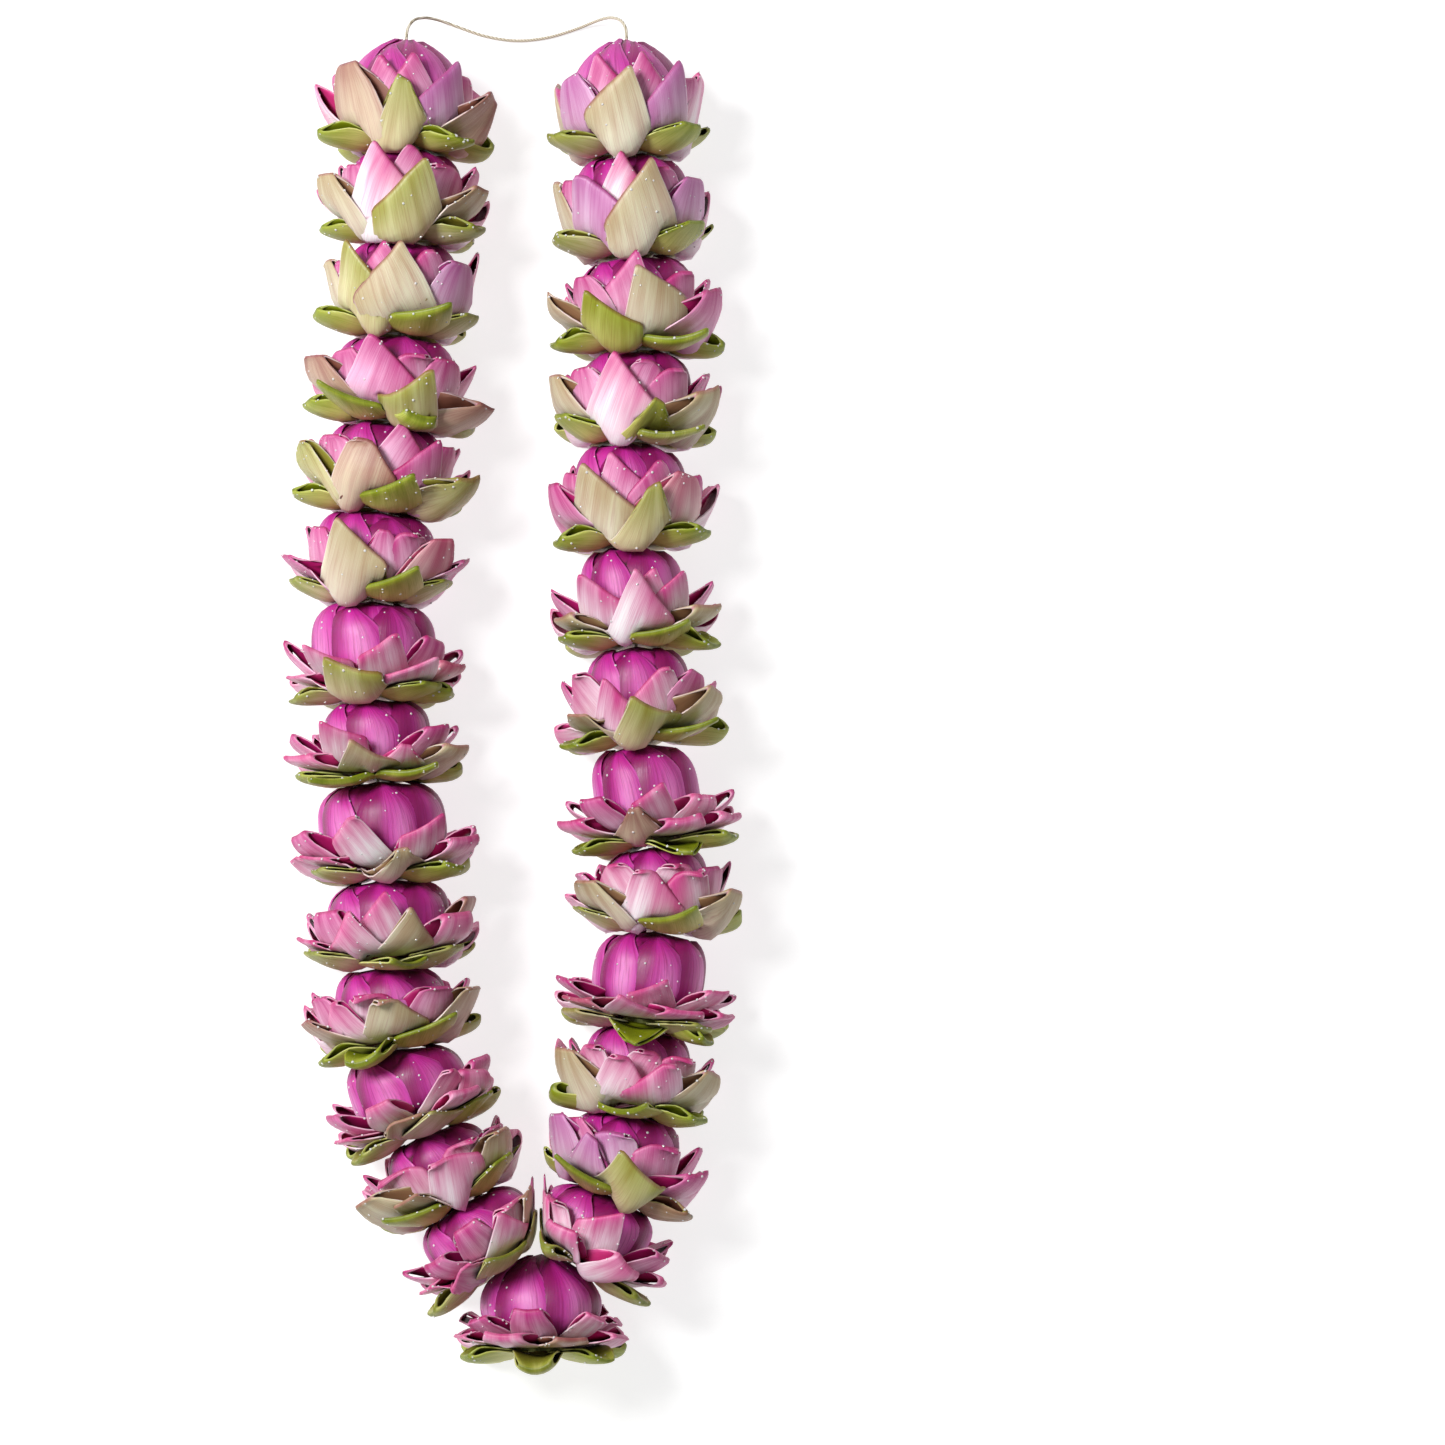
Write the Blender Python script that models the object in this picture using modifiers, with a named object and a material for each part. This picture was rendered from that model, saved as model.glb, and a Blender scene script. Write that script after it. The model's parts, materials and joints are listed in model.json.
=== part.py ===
"""A lotus flower garland, laid out flat: two strands of lotus blooms strung tip to base on one
cotton thread, which meet in a pendant bloom at the bottom.

Each bloom keeps its closed bud. Its petals are folded in half, tip to root, so that each is a
flat open loop. The green outer petals, the calyx, grow from the round end of the stem. The
thread runs through every bloom, is knotted under the pendant, and crosses from one strand to
the other at the top. Metres, +Z up from the table, +Y along the garland.
"""

import math
import random

import bmesh
import bpy
from mathutils import Vector

MM = 0.001

# How the garland lies: for each bloom the place of its base in millimetres from the middle of
# the garland, its bud's radius, how far it stands open from 0 to 1, then its outer petals and
# its calyx petals as (direction, tilt): degrees round the strand from straight up, clockwise
# seen from its lower end, and degrees the petal rises at its crease. The ones under the bloom
# are filled in, but for a calyx petal straight down, which lies bent flat on the table and
# carries the garland.
AXIS_HEIGHT = 30.0
PENDANT = (
    (12.2, -295.7), 25.5, 1.0,
    ((-62, 22), (-15, 20), (35, 28), (78, 22)), ((-50, -4), (40, -4)),
)
PENDANT_TIP = (12.2, -250.7)
LEFT_STRAND = (
    ((-5.0, -256.6), 24.0, 0.75, ((-62, 30), (-5, 42), (66, 62)), ((-75, 0), (15, 12), (80, 30))),
    ((-24.3, -228.7), 22.0, 0.5, ((-60, 50), (0, 62), (60, 60)), ((-35, 20), (45, 30))),
    ((-40.1, -196.7), 25.0, 0.85, ((-62, 22), (0, 32), (60, 58)), ((-55, -2), (10, 12), (62, 6))),
    (
        (-53.1, -158.9), 23.0, 0.45, ((-62, 42), (5, 58), (62, 58)),
        ((-64, -2), (-12, -4), (40, 30), (180, 0)),
    ),
    ((-56.7, -121.5), 26.0, 0.6, ((-65, 42), (-14, 54), (38, 50), (78, 52)), ((-60, 12), (0, -2), (60, 22))),
    ((-56.7, -82.4), 27.0, 0.75, ((-60, 30), (-8, 42), (40, 40), (80, 36)), ((-55, 4), (55, 0))),
    ((-61.2, -38.3), 22.5, 0.85, ((-65, 38), (-14, 40), (30, 48), (72, 38)), ((-75, 12), (-32, 0), (28, 4))),
    ((-62.6, -1.4), 26.0, 0.85, ((-65, 28), (-15, 36), (30, 48), (72, 42)), ((-75, -4), (-12, 8), (56, -2))),
    ((-63.9, 42.7), 25.0, 0.35, ((-80, 45), (-25, 72), (20, 72), (62, 66)), ((-75, 28), (24, 30), (76, 34))),
    ((-61.2, 83.2), 25.0, 0.3, ((-70, 55), (-22, 75), (30, 66), (76, 45)), ((-90, 10), (15, 30), (72, 32))),
    ((-55.8, 122.8), 25.0, 0.4, ((-65, 60), (-12, 72), (48, 64)), ((-85, 5), (-30, 0), (22, 34), (76, 20))),
    ((-51.3, 162.0), 24.0, 0.15, ((-48, 78), (2, 80), (50, 78)), ((-85, 8), (30, 10), (80, 26), (180, 0))),
    ((-50.4, 204.7), 24.0, 0.2, ((-62, 60), (-14, 80), (30, 78), (74, 44)), ((-108, 5), (12, 50), (70, -4))),
    ((-49.1, 245.2), 24.0, 0.1, ((-50, 75), (2, 80), (48, 76), (88, 48)), ((-80, 5), (50, -3))),
)
LEFT_TIP = (-48.4, 295.6)
RIGHT_STRAND = (
    ((25.2, -254.3), 24.0, 0.8, ((-66, 66), (-10, 42), (40, 40), (82, 35)), ((0, -4), (75, 10))),
    ((44.5, -225.0), 23.0, 0.3, ((-75, 70), (-28, 70), (12, 80), (60, 46)), ((15, 38), (72, 6))),
    ((53.1, -187.7), 22.0, 0.45, ((-62, 60), (-18, 60), (24, 60), (66, 55)), ((-5, 6), (62, 6))),
    ((57.6, -148.6), 23.5, 1.0, ((-48, 28), (-5, 38), (42, 30), (80, 26)), ((-68, 14), (-5, -14), (48, 2))),
    (
        (63.5, -105.8), 22.0, 0.45, ((-52, 46), (-8, 62), (34, 70), (74, 44)),
        ((-78, 30), (10, 15), (95, 15), (180, 0)),
    ),
    ((63.5, -67.6), 22.0, 1.0, ((-72, 36), (-30, 34), (16, 30), (62, 30)), ((-62, 0), (10, -12), (62, 0))),
    ((56.7, -21.2), 21.5, 0.5, ((-58, 28), (-16, 52), (24, 62), (66, 50)), ((-62, 0), (8, 28), (56, 5))),
    ((54.9, 22.4), 21.5, 0.6, ((-62, 40), (0, 60), (52, 46)), ((-66, 5), (-14, -2), (26, 12), (66, -8))),
    ((52.2, 67.5), 23.5, 0.3, ((-75, 55), (-28, 75), (10, 84), (50, 75)), ((-62, 0), (14, 52), (66, 10))),
    ((52.2, 113.8), 23.5, 0.25, ((-60, 70), (-14, 80), (32, 75), (74, 50)), ((-66, 25), (15, 45))),
    (
        (55.8, 155.2), 24.0, 0.4, ((-64, 55), (-14, 80), (28, 75), (70, 50)),
        ((-84, 0), (-30, 45), (40, 5), (180, 0)),
    ),
    ((54.5, 198.0), 24.0, 0.15, ((-50, 80), (4, 80), (54, 80)), ((-70, 15), (60, 45))),
    ((51.3, 243.0), 24.0, 0.1, ((-50, 80), (-4, 80), (38, 76), (78, 75)), ((-66, 20), (50, 26))),
)
RIGHT_TIP = (50.6, 295.6)
DIVIDE_X = 11.0  # where the lowest blooms of the two strands press against each other

# The end of the stem that the calyx grows from, and the closed bud on it.
STEM_RADIUS = 9.0
STEM_HEIGHT = 3.4
STEM_SIDES = 8
BUD_SIDES = 8
# The bud's outline: share of its height, share of its radius.
BUD_OUTLINE = ((0.0, 0.42), (0.10, 0.74), (0.36, 1.0), (0.76, 0.92), (1.0, 0.48))
POINTED_OUTLINE = ((0.0, 0.42), (0.10, 0.74), (0.36, 1.0), (0.74, 0.80), (1.0, 0.11))

# A folded petal: two layers of the same petal that meet in a crease. The rows are places along
# it, from 0 at the root to 1 at the crease and towards 2 where its tip is tucked in.
PETAL_THICKNESS = 0.8
FOLDED_ROWS = (0.0, 0.42, 1.0, 1.64)
LAID_ROWS = (0.0, 0.42, 0.86, 1.0, 1.64)  # the same for one that lies bent on the table
SINGLE_ROWS = (0.0, 0.5, 1.0)
WIDEST = 0.42  # how far along it is widest
TURNED = 0.6  # how far along it has turned from the tilt at its root to that at its crease
KITE_TILT = 52  # petals that stand up more than this narrow to a point, the others are loops
KITE_CREASE = 0.36
LOOP_CREASE = 0.84

# The rings of petals: rows, height of the root, length lying down and upright, half width,
# space between the two layers, clearance from the bud and tilt at the root.
OUTER_RING = dict(
    rows=FOLDED_ROWS, root=6.0, length=(27.0, 36.5), half=12.5, gap=3.6, clearance=3.4, root_tilt=9
)
INNER_RING = dict(
    rows=SINGLE_ROWS, root=13.6, length=(22.0, 22.0), half=7.5, gap=0.0, clearance=0.9, root_tilt=50
)
CALYX_RING = dict(
    rows=FOLDED_ROWS, root=1.9, length=(31.0, 31.0), half=12.5, gap=5.4, clearance=3.4, root_tilt=2
)
ROOT_DEPTH = 1.6
SIDE_GAP = 0.7  # from a petal's edge to the middle between it and the next one of its ring
OUTER_COUNT = 5
CALYX_COUNT = 4
INNER_DIRECTIONS = (-30, 30, 180)
INNER_TILT = (88, 62)  # closed, open
# The surface that parts the calyx from the bloom curves up like a bowl: its tilt in the middle
# and its curvature per millimetre, closed and open.
BOWL_TILT = (8.0, 2.0)
BOWL_CURVATURE = (1 / 34.0, 1 / 110.0)

# Room between neighbours.
SEAT_GAP = 0.3
SKIN = 0.62  # from a petal's middle surface to the surface that parts it from a neighbour
CHORD_SKIN = 1.15  # the same for a calyx petal, whose flat faces cut across the bowl
DROOP = 0.20  # slope at which the petals of one bloom may hang over the one below
DROOP_START = 14.0  # how far out they begin to hang
SOFT_BAND = 2.6  # how near a neighbour a petal begins to bend clear of it
DIVIDE_BAND = 7.0
DIVIDE_SPARE = 1.3  # how much sooner a bloom's petals bend there than its calyx's
FLOOR_BAND = 6.0
FLAT_BAND = 2.5  # how much of the lowest petals the table presses flat
FLAT_SPARE = 0.02  # how far above the table they end
STRAIGHT_DOWN = 180  # the direction of the petals that carry the garland
LAID_SHARE = 0.7  # how far such a petal's end turns along the garland
FLAT_DEPTH = 0.2  # how deep it is cut flat

# The cotton thread, its holes through the blooms and its knot.
THREAD_RADIUS = 0.7
HOLE_RADIUS = 1.25
HOLE_SIDES = 5
PENDANT_SPREAD = 1.6  # each of the two ends passes this far to its side of the middle
KNOT_RADIUS = 2.6
KNOT_DROP = 3.1
# The stretch from the left strand's tip over the table to the right strand's.
NECK_ROUTE = (
    (-48.0, 300.4, 25.6),
    (-45.5, 305.0, 19.5),
    (-40.5, 307.2, 10.5),
    (-34.0, 306.6, 3.8),
    (-26.0, 304.0, 1.1),
    (-14.0, 300.0, 0.9),
    (0.0, 298.0, 0.9),
    (14.0, 299.4, 0.9),
    (27.0, 303.2, 1.1),
    (35.5, 306.2, 3.8),
    (42.0, 307.2, 10.5),
    (47.5, 305.0, 19.5),
    (50.2, 300.4, 25.6),
)
NECK_STEP = 9.0

PINK = (0.72, 0.20, 0.48)
GREEN = (0.42, 0.50, 0.10)
COTTON = (0.80, 0.76, 0.64)


def clear_scene():
    for obj in list(bpy.data.objects):
        bpy.data.objects.remove(obj, do_unlink=True)


def material(name, colour, roughness):
    made = bpy.data.materials.new(name)
    made.use_nodes = True
    shader = made.node_tree.nodes["Principled BSDF"]
    shader.inputs["Base Color"].default_value = (*colour, 1.0)
    shader.inputs["Roughness"].default_value = roughness
    shader.inputs["Metallic"].default_value = 0.0
    return made


def mix(a, b, share):
    return a + (b - a) * share


def keep_above(value, limit, band):
    """The value, bent to stay above a limit from the height of a band over it."""
    if value >= limit + band:
        return value
    return limit + band * math.exp((value - limit - band) / band)


def keep_below(value, limit, band):
    return -keep_above(-value, -limit, band)


class Flower:
    """One bloom's place: its base, the direction it points in, and what parts it from others.

    Its own coordinates are millimetres: x towards the sky, y to the right of the garland when
    the bloom points up it, and z from its base to the base of the next bloom.
    """

    def __init__(self, name, row, tip, side, seed, pointed=False):
        base, self.bud, self.openness, self.outer, self.calyx = row
        self.name = name
        self.base = Vector((*base, AXIS_HEIGHT))
        self.tip = Vector((*tip, AXIS_HEIGHT))
        self.pitch = (self.tip - self.base).length
        self.axis = (self.tip - self.base).normalized()
        self.up = Vector((0.0, 0.0, 1.0))
        self.across = self.axis.cross(self.up)
        self.side = side
        self.seed = seed
        self.pointed = pointed
        self.rests = any(direction == STRAIGHT_DOWN for direction, _ in self.calyx)
        self.lower = self.axis
        self.upper = self.axis
        self.ceilings = []
        self.depth = 0.0

    def slope(self, normal, x, y):
        """How far the plane with this normal rises along the axis, out at x and y."""
        return -(normal.dot(self.up) * x + normal.dot(self.across) * y) / normal.dot(self.axis)

    def place(self, x, y, z, spare=0.0):
        """A point of the bloom in the garland, bent so that its ends lie in its end planes."""
        share = min(1.0, max(0.0, 1.25 * z / self.pitch - 0.125))
        z += mix(self.slope(self.lower, x, y), self.slope(self.upper, x, y), share)
        point = self.base + x * self.up + y * self.across + z * self.axis
        if self.side:
            away = self.side * (point.x - DIVIDE_X)
            point.x = DIVIDE_X + self.side * keep_above(away, SKIN + spare, DIVIDE_BAND)
        return point

    def clear_ceilings(self, point):
        """The point kept below the blooms that sit on this one at a slant."""
        for other in self.ceilings:
            offset = point - other.base
            height = offset.dot(other.lower)
            radius = (offset - height * other.lower).length
            limit = -SKIN - DROOP * max(0.0, radius - DROOP_START)
            point = point + (keep_below(height, limit, SOFT_BAND) - height) * other.lower
        return point

    def settle(self, point):
        """The point with the underside of the bloom pressed on the table."""
        if point.z >= FLOOR_BAND or self.depth <= 0.0:
            return point
        share = (FLOOR_BAND - point.z) / (FLOOR_BAND + self.depth - FLAT_BAND)
        lowest = PETAL_THICKNESS / 2 + FLAT_SPARE
        return Vector((point.x, point.y, mix(FLOOR_BAND, lowest, min(1.0, share))))

    def lay(self, point):
        """The point of a petal that stands on the table and whose end lies along it."""
        if point.z >= FLOOR_BAND or self.depth <= 0.0:
            return point
        laid = point + LAID_SHARE * max(0.0, -point.z) * self.axis
        share = min(1.0, (FLOOR_BAND - point.z) / FLOOR_BAND)
        laid.z = mix(FLOOR_BAND, PETAL_THICKNESS / 2 - FLAT_DEPTH, share)
        return laid

    def top_limit(self, radius):
        return self.pitch - SKIN - DROOP * max(0.0, radius - DROOP_START)

    def bottom_limit(self, radius):
        return SKIN - DROOP * max(0.0, radius - DROOP_START)

    def off_bowl(self, radius, height, inside):
        """The radius and height, kept inside or outside the bowl that holds the bloom."""
        tilt = math.radians(mix(*BOWL_TILT, self.openness))
        size = 1.0 / mix(*BOWL_CURVATURE, self.openness)
        centre_radius = STEM_RADIUS - size * math.sin(tilt)
        centre_height = STEM_HEIGHT + SEAT_GAP / 2 + size * math.cos(tilt)
        out, down = radius - centre_radius, centre_height - height
        if down <= 0.0:
            return radius, height
        distance = math.hypot(out, down)
        if inside:
            kept = keep_below(distance, size - SKIN, SOFT_BAND)
        else:
            kept = keep_above(distance, size + CHORD_SKIN, SOFT_BAND)
        return centre_radius + out * kept / distance, centre_height - down * kept / distance

    def bud_outline(self):
        """Heights and radii of the closed bud, from the top of the stem to just under the next
        bloom, or to its point."""
        low = STEM_HEIGHT + SEAT_GAP
        high = self.pitch - SEAT_GAP / 2
        outline = POINTED_OUTLINE if self.pointed else BUD_OUTLINE
        return [(mix(low, high, share), self.bud * wide) for share, wide in outline]

    def bud_radius(self, height):
        outline = self.bud_outline()
        for (low, narrow), (high, wide) in zip(outline, outline[1:]):
            if low <= height <= high:
                return mix(narrow, wide, (height - low) / (high - low))
        return 0.0


class Petal:
    """One petal of a ring, with its own small differences."""

    def __init__(self, flower, ring, direction, tilt, room, chance):
        self.flower = flower
        self.ring = ring
        self.laid = flower.rests and ring is CALYX_RING and direction == STRAIGHT_DOWN
        self.rows = LAID_ROWS if self.laid else ring["rows"]
        self.direction = math.radians(direction)
        self.room = math.tan(math.radians(min(60.0, room)))
        core = STEM_RADIUS if ring is CALYX_RING else flower.bud_radius(ring["root"])
        self.root_radius = 0.92 * core - ROOT_DEPTH
        self.root_tilt = math.radians(ring["root_tilt"])
        self.crease_tilt = math.radians(tilt)
        self.length = mix(*ring["length"], abs(tilt) / 80) * chance.uniform(0.92, 1.06)
        self.half = ring["half"] * chance.uniform(0.90, 1.10)
        self.gap = ring["gap"] * chance.uniform(0.8, 1.2)
        self.crease = (KITE_CREASE if tilt > KITE_TILT else LOOP_CREASE) * chance.uniform(0.8, 1.15)
        self.slant = (0.0 if self.laid else 1.0) * chance.uniform(-0.10, 0.10)
        self.roll = math.radians(chance.uniform(-20, 20))
        self.skew = chance.uniform(-3.0, 3.0)

    def midline(self, reach):
        """Distance from the axis, height and tilt of the petal's middle, this far along it."""
        arc = TURNED * self.length
        turned = min(reach, arc)
        tilt = mix(self.root_tilt, self.crease_tilt, turned / arc)
        half_turn = (tilt - self.root_tilt) / 2
        chord = turned if abs(half_turn) < 1e-6 else turned * math.sin(half_turn) / half_turn
        outward = chord * math.cos(self.root_tilt + half_turn) + (reach - turned) * math.cos(tilt)
        up = chord * math.sin(self.root_tilt + half_turn) + (reach - turned) * math.sin(tilt)
        return self.root_radius + outward, self.ring["root"] + up, tilt

    def width(self, height):
        """Half its width at a share of its length."""
        if height < WIDEST:
            return self.half * height / WIDEST
        return self.half * mix(1.0, self.crease, (height - WIDEST) / (1.0 - WIDEST))

    def point(self, across, along):
        """A point of the petal's middle surface in its flower's coordinates."""
        height = along if along <= 1.0 else 2.0 - along
        x = across * self.width(height)
        lift = -self.gap * math.sin(math.pi * height ** 0.8) ** 0.7 if height < 1.0 else 0.0
        if along > 1.0:
            x = 0.85 * x + self.skew * (along - 1.0)
            lift = 0.0
        turn = self.roll * height
        x, lift = (
            x * math.cos(turn) - lift * math.sin(turn),
            x * math.sin(turn) + lift * math.cos(turn),
        )
        outward, up, tilt = self.midline(height * self.length * (1.0 + self.slant * across))
        outward -= lift * math.sin(tilt)
        up += lift * math.cos(tilt)
        if height > 0.0:
            outward = self.off_bud(outward, up)
        x = math.copysign(min(abs(x), self.room * outward - SIDE_GAP), x)
        return (
            outward * math.cos(self.direction) - x * math.sin(self.direction),
            outward * math.sin(self.direction) + x * math.cos(self.direction),
            up,
        )

    def off_bud(self, outward, up):
        """The distance from the axis, kept outside the bud and the petals that hug it."""
        return keep_above(outward, self.flower.bud_radius(up) + self.ring["clearance"], 1.5)


def filled_ring(petals, count):
    """The given petals of a ring and those under the bloom, evenly between the outermost."""
    missing = count - len(petals)
    first, last = petals[0][0] + 360, petals[-1][0]
    step = (first - last) / (missing + 1)
    tilt = sum(petal[1] for petal in petals) / len(petals)
    return list(petals) + [(last + step * (k + 1), tilt) for k in range(missing)]


def ring_of(flower, ring, petals, chance):
    """The petals of a ring, each with half the angle to its nearest neighbour as its room."""
    ways = [way for way, _ in petals]
    rooms = [
        min((b - a) % 360 for a, b in ((ways[k - 1], way), (way, ways[(k + 1) % len(ways)]))) / 2
        for k, way in enumerate(ways)
    ]
    return [
        Petal(flower, ring, way, tilt, room, chance) for (way, tilt), room in zip(petals, rooms)
    ]


def petals_of(flower):
    """The bloom's petals and the calyx's, with the same chances each time."""
    chance = random.Random(flower.seed)
    inner = [(way, mix(*INNER_TILT, flower.openness)) for way in INNER_DIRECTIONS]
    return (
        ring_of(flower, OUTER_RING, filled_ring(flower.outer, OUTER_COUNT), chance)
        + ring_of(flower, INNER_RING, inner, chance),
        ring_of(flower, CALYX_RING, filled_ring(flower.calyx, CALYX_COUNT), chance),
    )


def bloom_point(petal, across, along):
    """A point of a petal of the bloom, kept off the calyx below and the next bloom above."""
    flower = petal.flower
    x, y, z = off_bowl(petal, across, along, True)
    z = keep_below(z, flower.top_limit(math.hypot(x, y)), SOFT_BAND)
    return flower.settle(flower.clear_ceilings(flower.place(x, y, z, DIVIDE_SPARE)))


def calyx_point(petal, across, along):
    """A point of a calyx petal, kept off the bloom inside it and the one it sits on."""
    flower = petal.flower
    x, y, z = off_bowl(petal, across, along, False)
    outward = x * math.cos(petal.direction) + y * math.sin(petal.direction)
    z = keep_above(z, flower.bottom_limit(outward), 0.6 * SOFT_BAND)
    point = flower.clear_ceilings(flower.place(x, y, z))
    return flower.lay(point) if petal.laid else flower.settle(point)


def off_bowl(petal, across, along, inside):
    x, y, z = petal.point(across, along)
    before = max(math.hypot(x, y), 0.001)
    radius, z = petal.flower.off_bowl(before, z, inside)
    return x * radius / before, y * radius / before, z


def petal_object(name, petal, point_of):
    """The petal as a strip laid along its rows, given its thickness."""
    rows = petal.rows
    surface = bmesh.new()
    bmesh.ops.create_grid(surface, x_segments=1, y_segments=len(rows) - 1, size=1.0)
    for vertex in surface.verts:
        row = round((vertex.co.y + 1.0) / 2.0 * (len(rows) - 1))
        vertex.co = point_of(petal, vertex.co.x, rows[row]) * MM
    bmesh.ops.remove_doubles(surface, verts=surface.verts[:], dist=0.00001)
    bmesh.ops.triangulate(surface, faces=surface.faces[:])
    mesh = bpy.data.meshes.new(name)
    surface.to_mesh(mesh)
    surface.free()
    obj = bpy.data.objects.new(name, mesh)
    solidify = obj.modifiers.new("thickness", "SOLIDIFY")
    solidify.thickness = PETAL_THICKNESS * MM
    solidify.offset = 0.0
    solidify.use_quality_normals = True
    return obj


def turned_solid(name, flower, rings, sides):
    """A closed solid whose rings of (height, radius) stand round the flower's axis, with its
    ends in the flower's end planes."""
    solid = bmesh.new()
    loops = []
    for height, radius in rings:
        loop = []
        for k in range(sides):
            angle = 2 * math.pi * (k + 0.5) / sides
            point = flower.place(radius * math.cos(angle), radius * math.sin(angle), height)
            point = flower.clear_ceilings(point)
            loop.append(solid.verts.new(point * MM))
        loops.append(loop)
    for loop in loops:
        for k in range(sides):
            solid.edges.new((loop[k], loop[(k + 1) % sides]))
    for lower, upper in zip(loops, loops[1:]):
        edges = [
            edge
            for edge in solid.edges
            if all(v in lower for v in edge.verts) or all(v in upper for v in edge.verts)
        ]
        bmesh.ops.bridge_loops(solid, edges=edges)
    solid.faces.new(reversed(loops[0]))
    solid.faces.new(loops[-1])
    bmesh.ops.recalc_face_normals(solid, faces=solid.faces[:])
    bmesh.ops.triangulate(solid, faces=solid.faces[:])
    mesh = bpy.data.meshes.new(name)
    solid.to_mesh(mesh)
    solid.free()
    return bpy.data.objects.new(name, mesh)


def hole_cutter(name, start, end):
    """A straight drill along the thread's way through a bloom."""
    line = end - start
    middle = (start + end) / 2
    drill = bmesh.new()
    bmesh.ops.create_cone(
        drill,
        cap_ends=True,
        segments=HOLE_SIDES,
        radius1=HOLE_RADIUS * MM,
        radius2=HOLE_RADIUS * MM,
        depth=(line.length + 14.0) * MM,
    )
    mesh = bpy.data.meshes.new(name)
    drill.to_mesh(mesh)
    drill.free()
    cutter = bpy.data.objects.new(name, mesh)
    cutter.location = middle * MM
    cutter.rotation_mode = "QUATERNION"
    cutter.rotation_quaternion = line.to_track_quat("Z", "Y")
    cutter.hide_render = True
    cutter.display_type = "WIRE"
    return cutter


def table_cutter(name):
    """A slab under the table's surface, to cut the petals that are pressed on it flat."""
    slab = bmesh.new()
    bmesh.ops.create_cube(slab, size=1.0)
    bmesh.ops.scale(slab, verts=slab.verts[:], vec=(0.4, 0.8, 0.02))
    bmesh.ops.translate(slab, verts=slab.verts[:], vec=(0.0, 0.0, -0.01))
    mesh = bpy.data.meshes.new(name)
    slab.to_mesh(mesh)
    slab.free()
    return bpy.data.objects.new(name, mesh)


def applied(obj):
    """The object with its modifiers made part of its mesh."""
    graph = bpy.context.evaluated_depsgraph_get()
    mesh = bpy.data.meshes.new_from_object(obj.evaluated_get(graph))
    obj.modifiers.clear()
    obj.data = mesh
    return obj


def joined(core, repeats, cutters, collection, finish):
    """The core with its petals joined to it and the thread's holes cut through."""
    name = core.name
    collection.objects.link(core)
    group = bpy.data.collections.new(name + "_petals")
    drills = bpy.data.collections.new(name + "_holes")
    for holder, members in ((group, repeats), (drills, cutters)):
        bpy.context.scene.collection.children.link(holder)
        for member in members:
            holder.objects.link(member)
    if repeats:
        union = core.modifiers.new("petals", "BOOLEAN")
        union.operation = "UNION"
        union.operand_type = "COLLECTION"
        union.collection = group
        union.solver = "MANIFOLD"
    cut = core.modifiers.new("thread", "BOOLEAN")
    cut.operation = "DIFFERENCE"
    cut.solver = "MANIFOLD"
    cut.operand_type = "COLLECTION"
    cut.collection = drills
    applied(core)
    for holder, members in ((group, repeats), (drills, cutters)):
        for member in members:
            bpy.data.objects.remove(member, do_unlink=True)
        bpy.data.collections.remove(holder)
    core.data.materials.clear()
    core.data.materials.append(finish)
    return core


def bloom(flower, holes, collection, finish):
    """The closed bud with the two rings of pink petals that grow round its foot."""
    core = turned_solid("bloom_" + flower.name, flower, flower.bud_outline(), BUD_SIDES)
    petals = [
        petal_object(f"{core.name}_petal_{k}", petal, bloom_point)
        for k, petal in enumerate(petals_of(flower)[0])
    ]
    return joined(core, petals, cutters_of(core.name, flower, holes), collection, finish)


def calyx(flower, holes, collection, finish):
    """The round end of the stem with its ring of green petals."""
    rings = ((SEAT_GAP / 2, STEM_RADIUS), (STEM_HEIGHT, STEM_RADIUS))
    core = turned_solid("calyx_" + flower.name, flower, rings, STEM_SIDES)
    petals = [
        petal_object(f"{core.name}_petal_{k}", petal, calyx_point)
        for k, petal in enumerate(petals_of(flower)[1])
    ]
    return joined(core, petals, cutters_of(core.name, flower, holes), collection, finish)


def cutters_of(name, flower, holes):
    cutters = [hole_cutter(f"{name}_hole_{k}", *way) for k, way in enumerate(holes)]
    if flower.rests:
        cutters.append(table_cutter(name + "_table"))
    return cutters


def strand(side_name, side, rows, tip, first_seed):
    """The flowers of one strand, bottom to top, with the planes where each meets the next."""
    bases = [row[0] for row in rows] + [tip]
    flowers = [
        Flower(f"{side_name}_{k + 1:02d}", row, bases[k + 1], side, first_seed + k, row is rows[-1])
        for k, row in enumerate(rows)
    ]
    for below, above in zip(flowers, flowers[1:]):
        between = (below.axis + above.axis).normalized()
        below.upper = between
        above.lower = between
    return flowers


def measure_depth(flower):
    """How far the petals would reach below the table if nothing pressed on them."""
    blooms, calyxes = petals_of(flower)
    heights = [
        point_of(petal, across, along).z
        for point_of, petals in ((bloom_point, blooms), (calyx_point, calyxes))
        for petal in petals
        for along in petal.rows
        for across in (-1.0, 1.0)
    ]
    flower.depth = -min(heights)


def smooth_route(points, step):
    """Points a step apart on one smooth curve through the given ones."""
    ends = [2 * points[0] - points[1], *points, 2 * points[-1] - points[-2]]
    route = []
    for a, b, c, d in zip(ends, ends[1:], ends[2:], ends[3:]):
        count = max(1, round((c - b).length / step))
        for k in range(count):
            t = k / count
            route.append(
                0.5
                * (
                    2 * b
                    + (c - a) * t
                    + (2 * a - 5 * b + 4 * c - d) * t * t
                    + (3 * b - a - 3 * c + d) * t * t * t
                )
            )
    route.append(points[-1])
    return route


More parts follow.
